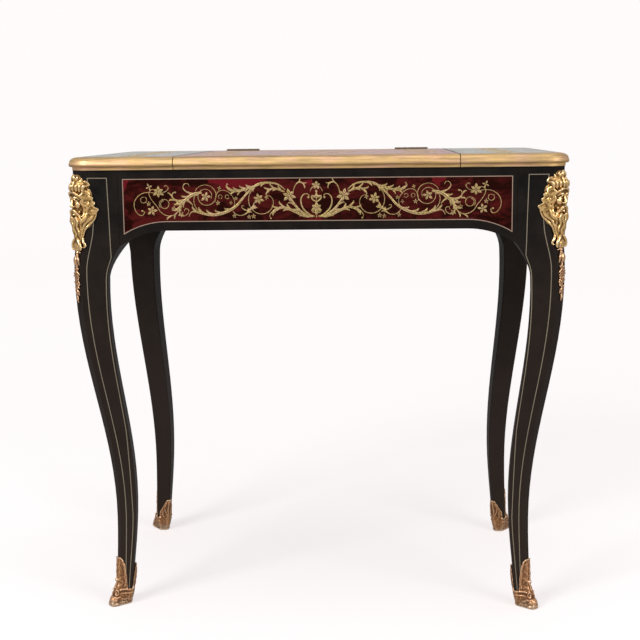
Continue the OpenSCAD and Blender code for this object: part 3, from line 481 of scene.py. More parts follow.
def finishes():
    """All the table's materials by name, made once."""
    if not FINISHES:
        FINISHES.update(
            wood=ebonised_wood(), oak=oak(), shell=shell(), edge=edge_brass(), mirror=mirror_glass(),
            inlay=engraved_brass(), lid_shell=shell("lid_shell", True), lid_inlay=engraved_brass("lid_inlay", True),
            stringing=brass("stringing", rgba("stringing"), shade("stringing", 0.6), 0.3),
            border=brass("border_line", rgba("border"), shade("border", 0.6), 0.4),
            hinge=plain_metal("hinge_brass", (0.17, 0.12, 0.065, 1), 0.42),
            steel=plain_metal("pin_steel", (0.35, 0.34, 0.33, 1), 0.35),
            frame=brass("gilt_frame", (0.66, 0.44, 0.15, 1), (0.3, 0.16, 0.05, 1), 0.7),
            # the third colour of each casting is the painted highlight on its high places
            gilt=cast_metal("gilt_bronze", rgba("gilt"), rgba("gilt_hollow"), (1.0, 0.74, 0.42, 1)),
            rose=cast_metal("rose_gilt", rgba("rose"), (0.10, 0.035, 0.014, 1), (0.80, 0.50, 0.30, 1)),
            shoe=cast_metal("shoe_bronze", rgba("shoe"), (0.12, 0.050, 0.022, 1), rgba("shoe_rub_and_highlight"), 0.7,
                            (0.34, 0.52), 0.5, 0.013))
    return FINISHES


def linked(name, data):
    """A new object in the scene."""
    made = bpy.data.objects.new(name, data)
    bpy.context.scene.collection.objects.link(made)
    return made


def baked(holder):
    """Turns an object into a mesh, with its bevel or modifiers applied."""
    mesh = bpy.data.meshes.new_from_object(holder.evaluated_get(bpy.context.evaluated_depsgraph_get()))
    mesh.name = holder.name
    bpy.data.objects.remove(holder)
    return mesh


@contextmanager
def edited(mesh):
    """Opens a mesh for changes and writes them back."""
    made = bmesh.new()
    made.from_mesh(mesh)
    yield made
    made.to_mesh(mesh)
    made.free()


def coat(piece, finish):
    piece.data.materials.clear()
    piece.data.materials.append(finishes()[finish])


def dress(finish, *nodes):
    """Gives CAD nodes their material."""
    for node in nodes:
        coat(NODES[node], finish)


def place_piece(name, mesh, body, finish, slot, *replaced):
    """Makes a piece of a mesh, gives it its material and lets it ride its body."""
    piece = linked(name, mesh)
    coat(piece, finish)
    if replaced:
        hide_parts(*replaced)
    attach(piece, body)


def smooth_by_angle(mesh, degrees):
    with edited(mesh) as made:
        for face in made.faces:
            face.smooth = True
        for edge in made.edges:
            edge.smooth = len(edge.link_faces) != 2 or edge.calc_face_angle(0) < math.radians(degrees)


def merged_copy(node, name):
    """A copy of a CAD node's mesh with its loose triangles joined."""
    mesh = NODES[node].data.copy()
    mesh.name = name
    with edited(mesh) as made:
        bmesh.ops.remove_doubles(made, verts=made.verts, dist=0.01 * MM)
    if "custom_normal" in mesh.attributes:
        mesh.attributes.remove(mesh.attributes["custom_normal"])
    return mesh


def smoothed_piece(node, suffix, finish, slot, degrees=32):
    """Replaces a CAD node by its own mesh, joined and with smooth faces."""
    mesh = merged_copy(node, node + suffix)
    smooth_by_angle(mesh, degrees)
    place_piece(node + suffix, mesh, NODES[node]["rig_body"], finish, slot, node)


# Strokes: each is a list of points with a half width, in millimetres

def smooth_line(points, steps=6):
    """A smooth line through the given points."""
    ends = [points[0], *points, points[-1]]
    line = []
    for a, b, c, d in zip(ends, ends[1:], ends[2:], ends[3:]):
        for i in range(steps):
            t = i / steps
            line.append(tuple(0.5 * (2 * q + (r - p) * t + (2 * p - 5 * q + 4 * r - s) * t ** 2
                                     + (3 * q - p - 3 * r + s) * t ** 3) for p, q, r, s in zip(a, b, c, d)))
    return line + [tuple(points[-1])]


def between(values, t):
    """Value at share t of a list of evenly spaced ones."""
    spot = min(max(t, 0.0), 1.0) * (len(values) - 1)
    low = min(int(spot), len(values) - 2)
    return values[low] + (values[low + 1] - values[low]) * (spot - low)


def stroke(points, widths, steps=6):
    line = smooth_line(points, steps)
    return [(*p, between(widths, i / (len(line) - 1)) / 2) for i, p in enumerate(line)]


def winding(centre, r0, r1, start, sweep, least, step):
    """Points of a spiral from radius r0 to r1, each with its share of the way."""
    count = max(least, int(abs(sweep) / step))
    for i in range(count + 1):
        t = i / count
        angle, radius = math.radians(start + sweep * t), r0 + (r1 - r0) * t
        yield t, centre[0] + radius * math.cos(angle), centre[1] + radius * math.sin(angle)


def spiral(centre, r0, r1, start, sweep, widths):
    return [(x, y, between(widths, t) / 2) for t, x, y in winding(centre, r0, r1, start, sweep, 10, 14)]


def dot(centre, radius):
    spots = [-0.98, -0.7, -0.25, 0.25, 0.7, 0.98]
    return [(centre[0] + radius * s, centre[1], radius * math.sqrt(1 - s * s)) for s in spots]


def petal(centre, angle, reach, wide):
    c, s = math.cos(angle), math.sin(angle)
    return [(centre[0] + c * reach * t, centre[1] + s * reach * t, wide / 2 * w)
            for t, w in ((0.2, 0.25), (0.42, 0.75), (0.62, 1.0), (0.84, 0.62), (1.05, 0.12))]


def flower(centre, radius, petals=None, turn=0.3):
    count = petals or sizes().petals
    leaves = [petal(centre, turn + 2 * math.pi * i / count, radius * (1.06 if i % 2 else 0.92), radius * 0.56)
              for i in range(count)]
    return [*leaves, dot(centre, radius * 0.17)]


def lobes(line, start, stop, count, side, reach, wide):
    """Long leaf lobes that leave a stem on one side, lie along it and curl out at their tips."""
    made = []
    for i in range(count):
        t = start + (stop - start) * i / max(1, count - 1)
        k = min(int(t * (len(line) - 1)), len(line) - 2)
        p, q = Vector(line[k][:2]), Vector(line[k + 1][:2])
        ahead = (q - p).normalized()
        out = Vector((-ahead.y, ahead.x)) * side
        size = reach * (0.82 + 0.34 * math.sin(math.pi * (i + 0.5) / count))
        path = [p + (ahead * x + out * y) * size
                for x, y in ((0, 0.02), (0.42, 0.13), (0.8, 0.31), (1.06, 0.52), (1.12, 0.74))]
        made.append(stroke([tuple(q) for q in path], (wide * 0.5, wide * 1.1, wide * 1.3, wide * 1.1, wide * 0.5), 3))
    return made


# Frieze scrollwork right of the panel's middle, in millimetres: points along each band and its widths
MAIN_BAND = [(48, 14.5), (54, 20), (62.5, 24.5), (74, 26), (86, 25), (95.5, 20.5), (105, 12), (114, 2), (122.5, -8),
             (132.5, -15)]
NEAR_BANDS = {
    "lyre": ([(2.5, -26.5), (12, -22.5), (21, -13.5), (24, -3), (22, 5), (17, 8.5), (12, 7), (12, 3)],
        (1.8, 2.4, 2.4, 1.8, 1.4, 1.2)),
    "rise": ([(4.5, -27), (14, -24.5), (24, -18.5), (31.5, -11), (37, -3), (39.5, 2)], (2, 3.6, 4, 3.2, 2)),
    "wing": ([(10.5, -27.5), (21, -25), (31.5, -19.5), (41.5, -15), (51, -12), (60.5, -13.5), (68.5, -19), (72.5, -25),
        (70, -29.5)], (2.2, 4, 4.6, 4, 3, 1.8, 1.1, 1)),
    "branch": ([(88, 23), (99.5, 19.5), (111, 16), (120.5, 13.5), (129.5, 13), (136, 16), (139.5, 21), (137, 24.5)],
        (2.4, 3.8, 3.8, 2.6, 1.6, 1.2, 1)),
    "inner": ([(49, 11.5), (57, 15), (65, 17), (72.5, 15.5), (76.5, 12.5)], (1.8, 3.6, 3.6, 2.4, 1)),
    "low": ([(130, -16.5), (126.5, -21), (120, -24), (112, -23), (105.5, -18), (100.5, -13), (94.5, -9.5)],
        (1, 1.3, 1.3, 1.6, 2.6, 3.4, 2.2)),
    "sprig": ([(36, 11), (34.5, 17), (31, 23.5), (26, 26.5), (20.5, 24.5), (17.5, 20.5)], (1, 1.3, 1.6, 2.6, 2.4, 0.8)),
    "ring": ([(95, 19), (102.5, 10), (105, 0), (103, -10), (96.5, -18), (87, -22), (76, -20), (69, -13), (66.5, -4.5),
        (69, 3), (74.5, 6), (80, 3.5)], (1, 1.3, 1.4, 1.4, 1.3, 1.1, 1)),
    "ring_end": ([(105, -17), (111, -15.5), (115.5, -12), (114.5, -9), (111.5, -10)], (1.6, 2, 1.4, 1, 0.9)),
    "stem": ([(0, -28.5), (0, -6), (0, 14)], (1.6, 1.2, 1.2)),
    "cup": ([(0, -4), (5, -1), (7.6, 3.4), (6, 5.6)], (1.8, 2.4, 1.2)),
    "foot": ([(0, -19), (5, -20), (8, -16)], (1.2, 2, 0.8)),
}
FAR_BANDS = {
    "main": (MAIN_BAND + [(144, -20), (157.5, -23), (171, -22), (183, -19), (191.5, -17.5), (196, -20.5), (198, -25.5)],
        (1.2, 2.2, 3, 3.4, 3.6, 3.4, 3.4, 3.8, 4.6, 4.8, 4.4, 3.6, 2.6, 1.4, 1)),
    "leaf": ([(177.5, 11.5), (185.5, 10.5), (194.5, 7), (202, 1), (209, -5), (213.5, -13), (216.5, -19)],
        (2.8, 5, 5.4, 4.4, 3, 1.8)),
    "frond": ([(201.5, 1.5), (210, -1), (218, 0), (223.5, 5), (222.5, 11), (218.5, 12.5)], (2.6, 4, 3.4, 2, 1.3, 1.1)),
    "tail": ([(216.5, -19), (223.5, -23.5), (233, -23.5), (242, -18), (247.5, -9.5), (253.5, -2), (258.5, 6),
        (259.5, 13), (254.5, 17), (248.5, 16)], (1.6, 1.6, 1.4, 1.3, 1.3, 1.2, 1)),
    "loop": ([(157, -3), (156, 5), (152, 12.5), (144.5, 15), (136, 12), (129.5, 5), (126.5, -3), (128, -11)],
        (1, 1.2, 1.2, 1.2, 1)),
    "hook": ([(197.5, 11), (203.5, 15), (206.5, 20), (204, 25), (199, 25.5), (196.5, 21.5)],
        (2, 2.2, 1.6, 1.3, 1.1, 0.9)),
    "arc": ([(183, 8), (188.5, 6), (190, -1), (188, -9.5), (182.5, -16.5), (174, -20.5)], (1.4, 1.2, 1.3, 1.3, 1)),
    "end_scroll": ([(249.5, 11), (259.5, 12.5), (270, 11), (278.5, 5), (283, -3.5), (282.5, -13), (277.5, -21),
        (271, -23), (267.5, -18.5), (271, -15)], (1, 1.2, 1.3, 1.3, 1.3, 1.4, 1.1)),
    "end_hook": ([(239.5, 11), (232, 15), (229.5, 19.5), (233, 23), (236, 21)], (1, 1.3, 1.2, 0.9)),
    "fork": ([(213, -21), (207, -24.5), (200, -21), (198.5, -15), (203.5, -13), (205, -17)], (1, 1.3, 1.3, 1)),
    "shoot": ([(200, 0), (196, -3), (191.5, -8)], (1.6, 2.6, 0.8)),
}
SHORT_BANDS = {
    "main": (MAIN_BAND + [(141.5, -17.5), (148, -13), (148.5, -6.5), (143, -4), (140, -8)],
        (1.2, 2.6, 3.4, 3.6, 3.6, 4.0, 4.6, 4.2, 2.4, 1.4, 1.1)),
}
# Spirals: centre, radii, start, sweep and widths
NEAR_SPIRALS = [((0, 11), 9.5, 9.5, 8, 82, (1.4, 1.2, 1))]
FAR_SPIRALS = [
    ((171, 6), 18.6, 8.6, 25, 540, (0.9, 1.4, 1.2, 1)), ((236, -6), 8.4, 5.6, -40, 480, (1, 1.3, 1.1)),
    ((268.5, 1), 5.1, 4.4, 120, 350, (1, 1.2, 1)), ((149, 5), 3.4, 2.6, 250, -330, (0.9, 1)),
    ((138, 5), 3.4, 2.6, 200, 330, (0.9, 1)),
]
# Dots: centre and radius
NEAR_DOTS = [((12.4, 3), 1.8), ((70.6, -29), 1.3), ((137.4, 24), 1.4)]
FAR_DOTS = [((218.8, 12.2), 1.6), ((271, -16), 1.5)]
# Flowers: centre, radius and petals
NEAR_FLOWERS = [
    ((42, 6), 9.8, 6), ((89.5, 1), 8.2, 6), ((104.5, -26.5), 3.3, 5), ((97.5, -25.5), 3.8, 5), ((127.5, -25), 3.3, 5),
    ((124.5, 2), 3.1, 5), ((77, 3), 3.4, 4),
]
FAR_FLOWERS = [
    ((171.5, 5), 7.8, 5), ((245, 13), 8.6, 6), ((259.5, 20.5), 5.6, 4), ((255.5, -16), 7.8, 5), ((150, 18.5), 3.1, 4),
    ((132.5, -4.5), 2.9, 4), ((152.5, -4.5), 3.7, 5), ((221.5, -13), 3.9, 5), ((210, -22), 4.4, 5),
    ((260.5, -5), 3.7, 5),
]
# Leaf lobes: band, start, stop, count, side, reach and width
NEAR_LEAVES = [
    ("rise", 0.2, 0.65, 3, -1, 9, 2), ("wing", 0.34, 0.6, 3, 1, 9, 2.2), ("wing", 0.36, 0.66, 4, -1, 9, 2.2),
    ("main", 0.2, 0.3, 2, -1, 8, 2), ("branch", 0.12, 0.58, 5, 1, 9.5, 2.2), ("branch", 0.2, 0.5, 3, -1, 7, 1.8),
    ("inner", 0.15, 0.7, 3, 1, 8, 2), ("inner", 0.3, 0.8, 3, -1, 7, 1.8), ("low", 0.6, 0.85, 3, 1, 6.5, 1.8),
    ("low", 0.6, 0.85, 2, -1, 6, 1.8), ("sprig", 0.5, 0.8, 2, 1, 5.5, 1.6), ("sprig", 0.5, 0.75, 2, -1, 5, 1.6),
]
FAR_LEAVES = [
    ("main", 0.55, 0.82, 5, 1, 11, 2.4), ("leaf", 0.2, 0.75, 5, 1, 10, 2.4), ("leaf", 0.35, 0.8, 4, -1, 8.5, 2.2),
    ("frond", 0.2, 0.6, 3, -1, 7, 2), ("tail", 0.02, 0.14, 2, -1, 7, 2),
]
SHORT_LEAVES = [("main", 0.66, 0.84, 3, 1, 8, 2)]


def frieze_half(far=True):
    """Right half of the frieze scrollwork, from its middle line outwards. Short sides leave out the far end."""
    bands = {name: stroke(*band) for name, band in (NEAR_BANDS | (FAR_BANDS if far else SHORT_BANDS)).items()}
    made = [*bands.values(), *(spiral(*row) for row in NEAR_SPIRALS), *(dot(*row) for row in NEAR_DOTS)]
    for row in NEAR_FLOWERS:
        made += flower(*row)
    if far:
        made += [*(spiral(*row) for row in FAR_SPIRALS), *(dot(*row) for row in FAR_DOTS)]
        for centre, radius, petals in FAR_FLOWERS:
            made += flower(centre, radius, petals, 0.3 + radius)
    for name, *leaves in NEAR_LEAVES + (FAR_LEAVES if far else SHORT_LEAVES):
        made += lobes(bands[name], *leaves)
    return made


def column():
    """Flowers and buds on the frieze's middle line."""
    made = flower((0, -13), 8.0, 6, 0.52) + flower((0, 21.5), 6.4, 5, math.pi / 2)
    made += [dot((0, -21.5), 2.2), dot((0, 4.5), 3.0), dot((0, 12.5), 1.8)]
    return made + [petal((0, 2), a, 8.5, 3.2) for a in (0.5, math.pi / 2, math.pi - 0.5)]


def both(lines):
    """The lines and their mirror images."""
    return lines + [[(-x, *rest) for x, *rest in line] for line in lines]


def moved(strokes, scale=1.0, turn=0.0, shift=(0, 0)):
    c, s = math.cos(turn) * scale, math.sin(turn) * scale
    return [[(x * c - y * s + shift[0], x * s + y * c + shift[1], w * scale) for x, y, w in line] for line in strokes]


def drawn(line):
    """A band of the frieze with its width brought down, thin tendrils more than broad leaves."""
    return [(x, y, 0.78 * w ** 1.12) for x, y, w in line]


def frieze_scrolls(far=True):
    return both([drawn(line) for line in frieze_half(far)]) + column()


def drawn_middle():
    """The lyre, wings and flowers of the frieze's middle, as a motif of their own."""
    half = [drawn(line) for line in frieze_half(False)]
    return both([line for line in half if max(p[0] for p in line) < 52]) + column()


THINNEST, SUNK = 0.05, 0.15  # least half width of a band and how deep it is let in, in millimetres
BAND = [(-1, -0.6), (-1, 0.1), (-0.75, 0.55), (-0.34, 0.60), (0, 0.30), (0.34, 0.60), (0.75, 0.55), (1, 0.1), (1, -0.6)]


def profile_curve():
    """Section of an inlaid band: a low crown with an engraved line down its middle."""
    if "band_section" in bpy.data.objects:
        return bpy.data.objects["band_section"]
    data = bpy.data.curves.new("band_section", "CURVE")
    data.dimensions = "2D"
    line = data.splines.new("POLY")
    line.points.add(len(BAND) - 1)
    for point, (x, y) in zip(line.points, BAND):
        point.co = (x, y, 0, 1)
    line.use_cyclic_u = True
    return bpy.data.objects.new("band_section", data)


def strokes_to_mesh(name, strokes, section=None):
    """Sweeps a section, or a round one, along the strokes and returns one mesh in their own units."""
    data = bpy.data.curves.new(name, "CURVE")
    data.dimensions, data.twist_mode, data.use_fill_caps = "3D", "Z_UP" if section else "MINIMUM", True
    if section:
        bpy.context.scene.collection.objects.link(section)
        data.bevel_mode, data.bevel_object = "OBJECT", section
    else:
        data.bevel_depth, data.bevel_resolution = 1.0, 2
    for line in strokes:
        spline = data.splines.new("POLY")
        spline.points.add(len(line) - 1)
        for point, (*place, radius) in zip(spline.points, line):
            point.co = (*place, *([0] * (3 - len(place))), 1)
            point.radius = max(radius, THINNEST)
    mesh = baked(linked(name, data))
    bpy.data.curves.remove(data)
    if section:
        bpy.context.scene.collection.objects.unlink(section)
    return mesh


def inlay(name, strokes, place, rise):
    """Brass bands laid on a plane: place turns the drawing's X, Y and height into the table's own directions."""
    mesh = strokes_to_mesh(name, strokes, profile_curve())
    middle = len(BAND) // 2
    groove = [float(i % len(BAND) == middle) for i in range(len(mesh.vertices))]
    mesh.attributes.new("hollow", "FLOAT", "POINT").data.foreach_set("value", groove)
    with edited(mesh) as made:
        bmesh.ops.remove_doubles(made, verts=made.verts, dist=THINNEST / 25)
        bmesh.ops.recalc_face_normals(made, faces=made.faces)
        for vert in made.verts:  # broad bands rise little more than thin ones
            vert.co.z = vert.co.z ** 0.4 * rise / MM if vert.co.z > 0 else -SUNK
        bmesh.ops.transform(made, matrix=place @ Matrix.Scale(MM, 4), verts=made.verts)
    smooth_by_angle(mesh, 50)
    return mesh


def axes(right, up, origin):
    """Matrix that lays a drawing's X along right and its Y along up, at origin."""
    right, up = Vector(right), Vector(up)
    out = right.cross(up)
    return Matrix.Translation(origin) @ Matrix((right, up, out)).transposed().to_4x4()


# The operators, in the order in which the table is dressed

class TABLE_OT_stage(bpy.types.Operator):
    """Adds the pale floor, soft lights and the camera"""
    bl_idname = "table.stage"
    bl_label = "Stage"
    # The floor's glow, by a tenth of the metres from the middle plus 2
    lift = ((0.17, 0.59), (0.24, 0.61), (0.46, 0.70), (0.54, 0.72), (1.0, 0.76))

    def execute(self, context):
        scene = context.scene
        scene.view_settings.view_transform = "Standard"
        mesh = bpy.data.meshes.new("floor")
        with edited(mesh) as made:
            bmesh.ops.create_grid(made, x_segments=1, y_segments=1, size=30)
        finish, tree, shader = material("floor_paint", Roughness=0.7, Specular_IOR_Level=0.2)
        marks = use(tree, patina(), Scale=2.0)
        away = add(tree, "ShaderNodeVectorMath", {"operation": "LENGTH"}, in0=object_place(tree)).outputs["Value"]
        lift = ramp(tree, times(tree, math_node(tree, "ADD", away, 2.0), 0.1),
                    [(spot, (v + 0.02, v - 0.015, v - 0.015, 1)) for spot, v in self.lift])
        seen = add(tree, "ShaderNodeLightPath").outputs["Is Camera Ray"]
        plug(tree, shader, Base_Color=tinted(tree, rgba("floor"), marks["Cloud"], 0.1, shade("floor", 0.97)),
             Emission_Color=mixed(tree, seen, (0, 0, 0, 1), lift), Emission_Strength=1.0)
        mesh.materials.append(finish)
        floor = linked("floor", mesh)
        self.lights(scene)
        self.camera(scene)
        return {"FINISHED"}

    def lights(self, scene):
        world = bpy.data.worlds.new("studio")
        scene.world = world
        world.use_nodes = True
        tree = world.node_tree
        seen = add(tree, "ShaderNodeBackground", Color=(1, 0.968, 0.965, 1), Strength=1.0)
        felt = add(tree, "ShaderNodeBackground", Color=(0.95, 0.97, 1.0, 1), Strength=0.46)
        pick = add(tree, "ShaderNodeMixShader", in0=add(tree, "ShaderNodeLightPath").outputs["Is Camera Ray"],
                   in1=felt.outputs[0], in2=seen.outputs[0])
        tree.links.new(pick.outputs[0], tree.nodes["World Output"].inputs["Surface"])
        for name, (place, size, power) in LAMPS.items():
            lamp = bpy.data.lights.new(name, "AREA")
            lamp.size, lamp.energy = size, power
            holder = linked(name, lamp)
            holder.location = place
            holder.rotation_euler = (LAMPS_AIM - Vector(place)).to_track_quat("-Z", "Y").to_euler()

    def camera(self, scene):
        data = bpy.data.cameras.new("camera")
        data.lens, data.sensor_width = CAMERA_LENS, CAMERA_SENSOR
        data.clip_start, data.clip_end = 0.05, 100.0
        scene.camera = linked("camera", data)
        yaw, pitch, roll = CAMERA_YAW, CAMERA_PITCH, CAMERA_ROLL
        ahead = Vector((math.sin(yaw) * math.cos(pitch), math.cos(yaw) * math.cos(pitch), math.sin(pitch)))
        right = Vector((math.cos(yaw), -math.sin(yaw), 0))
        up = right.cross(ahead)
        turned = right * math.cos(roll) + up * math.sin(roll)
        upright = up * math.cos(roll) - right * math.sin(roll)
        scene.camera.matrix_world = Matrix.Translation(CAMERA_PLACE) @ Matrix(
            (turned, upright, -ahead)).transposed().to_4x4()


class TABLE_OT_woodwork(bpy.types.Operator):
    """Gives the legs, aprons, lids and inner boards their wood"""
    bl_idname = "table.woodwork"
    bl_label = "Woodwork"

    def execute(self, context):
        for node in (*(corner + "_leg" for corner in CORNERS), *(side + "_apron" for side in SIDES)):
            smoothed_piece(node, "_wood", "wood", "ebonised_wood")
        dress("oak", "bottom_board", "board_cleats", "left_partition", "right_partition", "rear_strip",
              *(lid + "_board" for lid in LIDS))
        return {"FINISHED"}


class TABLE_OT_shell(bpy.types.Operator):
    """Gives the frieze panels and the lids their red shell"""
    bl_idname = "table.shell"
    bl_label = "Red shell"

    def execute(self, context):
        dress("shell", *(side + "_panel" for side in SIDES))
        dress("lid_shell", "rear_strip_sheet", *(lid + "_sheet" for lid in LIDS))
        return {"FINISHED"}


class TABLE_OT_frieze_scrolls(bpy.types.Operator):
    """Lays the brass scrollwork on the four frieze panels"""
    bl_idname = "table.frieze_scrolls"
    bl_label = "Frieze scrollwork"

    def execute(self, context):
        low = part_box("front_panel")[0]
        mid = (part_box("front_apron")[1].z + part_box("board_cleats")[0].z) / 2
        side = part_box("left_panel")[0].x
        for name, right, origin, far in (
                ("front", (1, 0, 0), (0, low.y, mid), True), ("back", (-1, 0, 0), (0, -low.y, mid), True),
                ("left", (0, -1, 0), (side, 0, mid), False), ("right", (0, 1, 0), (-side, 0, mid), False)):
            piece = name + "_scroll_inlay"
            mesh = inlay(piece, frieze_scrolls(far), axes(right, (0, 0, 1), origin), sizes().scroll_rise)
            place_piece(piece, mesh, "table_frame", "inlay", "inlay_brass", name + "_scrollwork")
        dress("border", "panel_lines")
        dress("stringing", "leg_lines")
        return {"FINISHED"}


# Castings: points are given across the leg's corner, out from it and up, in millimetres

SEAT_ROOT = Vector((LEFT, CAD_BOX[0].y, 0))
OUT, ACROSS = Vector((-1, -1, 0)).normalized(), Vector((1, -1, 0)).normalized()
LID_HANG, LID_REACH = 6.6, 701.4  # a turned side lid stays this far off the leg, and hangs down to this height
NUDGES = (0.011, 0.043, -0.067)  # small shifts that keep a ray off the mesh's own edges
RAY_START, RAY_END = 0.1, -0.105  # metres out from the top's corner: start of a ray, and the deepest hit that counts
NEAR_SIDE = 0.06  # metres in from that corner, from where the nearest face is looked for when no ray hits
ANKLE_RAY = 0.09  # metres out from the ankle's middle where a ray starts
MASK_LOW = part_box("front_left_mask")[0].z / MM
DROP_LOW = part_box("front_left_drop")[0].z / MM


def surface_of(*nodes):
    """Height of the given CAD nodes over the corner's upright, seen from outside along the diagonal."""
    points, faces = [], []
    for node in nodes:
        piece = NODES[node]
        first = len(points)
        points += [piece.matrix_world @ v.co for v in piece.data.vertices]
        faces += [[first + i for i in p.vertices] for p in piece.data.polygons]
    tree = BVHTree.FromPolygons(points, faces)

    def height(a, z):
        for nudge in NUDGES:
            start = SEAT_ROOT + ACROSS * (a + nudge) * MM + OUT * RAY_START + Vector((0, 0, (z - nudge) * MM))
            hit = tree.ray_cast(start, -OUT)[0]
            if hit and (hit - SEAT_ROOT).dot(OUT) > RAY_END:
                return (hit - SEAT_ROOT).dot(OUT) / MM
        start = SEAT_ROOT + ACROSS * a * MM - OUT * NEAR_SIDE + Vector((0, 0, z * MM))
        return (tree.find_nearest(start)[0] - SEAT_ROOT).dot(OUT) / MM
    return height


def under_lid(a, w, z, r):
    """Draws a point in where a side lid, turned right over, hangs beside the leg's head."""
    return min(w, -abs(a) - (LID_HANG + r) * math.sqrt(2)) if z + r > LID_REACH else w


def corner_point(a, w, z):
    return (SEAT_ROOT + (OUT * w + ACROSS * a) * MM) / MM + Vector((0, 0, z))


def on_surface(height, strands, base=0.0, middle=False):
    """Sets strands of (across, height over the surface, or over it at the corner's middle, up, radius)."""
    return [[(*corner_point(a, under_lid(a, height(0 if middle else a, base + z) + h, base + z, r), base + z), r)
             for a, h, z, r in line] for line in strands]


def strand(points, radii, steps=5, wave=0.0, turns=0.0):
    """A smooth strand through 3-D points, waved from side to side on request."""
    line = smooth_line(points, steps)
    made = []
    for i, (a, h, z) in enumerate(line):
        t = i / (len(line) - 1)
        made.append((a + wave * math.sin(2 * math.pi * turns * t) * min(1, 4 * t), h, z, between(radii, t)))
    return made


def coil(centre, h, r0, r1, start, sweep, radii, dome):
    """A spiral strand that rises by dome towards its middle."""
    return [(a, h + dome * t, z, between(radii, t)) for t, a, z in winding(centre, r0, r1, start, sweep, 8, 20)]


def cast(name, strands, balls, voxel, base=None, soften=2, reach=22):
    """Joins strands, balls and a base mesh into one skin, and marks its hollows for the material."""
    mesh = strokes_to_mesh(name, strands)
    with edited(mesh) as made:
        for (a, w, z), size, lean in balls:
            turn = Matrix((ACROSS, OUT, (0, 0, 1))).transposed() @ Matrix.Rotation(lean, 3, "Y")
            place = Matrix.Translation(corner_point(a, w, z)) @ (turn @ Matrix.Diagonal(size)).to_4x4()
            bmesh.ops.create_icosphere(made, subdivisions=3, radius=1, matrix=place)
        bmesh.ops.scale(made, vec=(MM, MM, MM), verts=made.verts)
        if base:
            made.from_mesh(base)
        bmesh.ops.recalc_face_normals(made, faces=made.faces)
    holder = linked(name, mesh)
    step = holder.modifiers.new("skin", "REMESH")
    step.mode, step.voxel_size, step.use_smooth_shade = "VOXEL", voxel, True
    skin = baked(holder)
    mark_hollows(skin, soften, reach, voxel)
    return skin


def mark_hollows(mesh, soften, reach, voxel):
    """Evens out the steps of the skin, then stores how hollow each vertex lies: 0 high, 0.5 flat, 1 deep."""
    count = len(mesh.vertices)
    place, pairs = np.empty(count * 3), np.empty(len(mesh.edges) * 2, dtype=int)
    mesh.vertices.foreach_get("co", place)
    mesh.edges.foreach_get("vertices", pairs)
    place, pairs = place.reshape(-1, 3), pairs.reshape(-1, 2)
    first, second = np.concatenate((pairs[:, 0], pairs[:, 1])), np.concatenate((pairs[:, 1], pairs[:, 0]))
    share = np.maximum(np.bincount(first, minlength=count), 1)

    def evened(values):
        return np.stack([np.bincount(first, weights=values[second, k], minlength=count) / share for k in range(3)], 1)
    for _ in range(soften):
        place = place * 0.4 + evened(place) * 0.6
    mesh.vertices.foreach_set("co", place.ravel())
    mesh.update()
    broad = place
    for _ in range(reach):
        broad = evened(broad)
    normal = np.empty(count * 3)
    mesh.vertices.foreach_get("normal", normal)
    depth = ((broad - place) * normal.reshape(-1, 3)).sum(1) / (voxel * 2.2)
    mesh.attributes.new("hollow", "FLOAT", "POINT").data.foreach_set("value", np.clip(depth * 0.5 + 0.5, 0, 1))


def at_corners(mesh, suffix, finish, slot, kind):
    """Mirrors the front left corner's mesh to all four corners, in place of their CAD nodes of a kind."""
    for corner, (across, along) in CORNERS.items():
        made = mesh.copy()
        made.name = corner + suffix
        made.transform(Matrix.Diagonal((across, along, 1, 1)))
        if across * along < 0:
            made.flip_normals()
        place_piece(corner + suffix, made, "table_frame", finish, slot, corner + kind)


def lock(points, radius, wave=0.0, turns=0.0, tip=0.35):
    """A lock of cast hair: one bold strand with two chased ridges along it."""
    radii = [radius * share for share in (0.6, 1.0, 1.0, 0.8, tip)]
    made = [strand(points, radii, 6, wave, turns)]
    for side in (-0.5, 0.5):
        raised = [(a + side * radius, h + radius * 0.62, z + side * radius * 0.3) for a, h, z in points]
        made.append(strand(raised, [r * 0.46 for r in radii], 6, wave, turns))
    return made


# Strands on the middle line of the bearded mask: points as (across, out, up) and radii, in millimetres
MASK_MIDDLE = [
    ([(0, 10.5, 84), (0, 12.6, 79), (0, 15.6, 71), (0, 15.4, 68.5)], (1.5, 1.7, 2.5, 2.1)),
    ([(-3.6, 11.8, 59.4), (-1.4, 13.6, 60.4), (0, 13.4, 60.0), (1.4, 13.6, 60.4), (3.6, 11.8, 59.4)],
        (0.6, 1.2, 1.0, 1.2, 0.6)),
    ([(-3.0, 12.2, 57.2), (0, 13.6, 56.6), (3.0, 12.2, 57.2)], (0.7, 1.6, 0.7)),
]
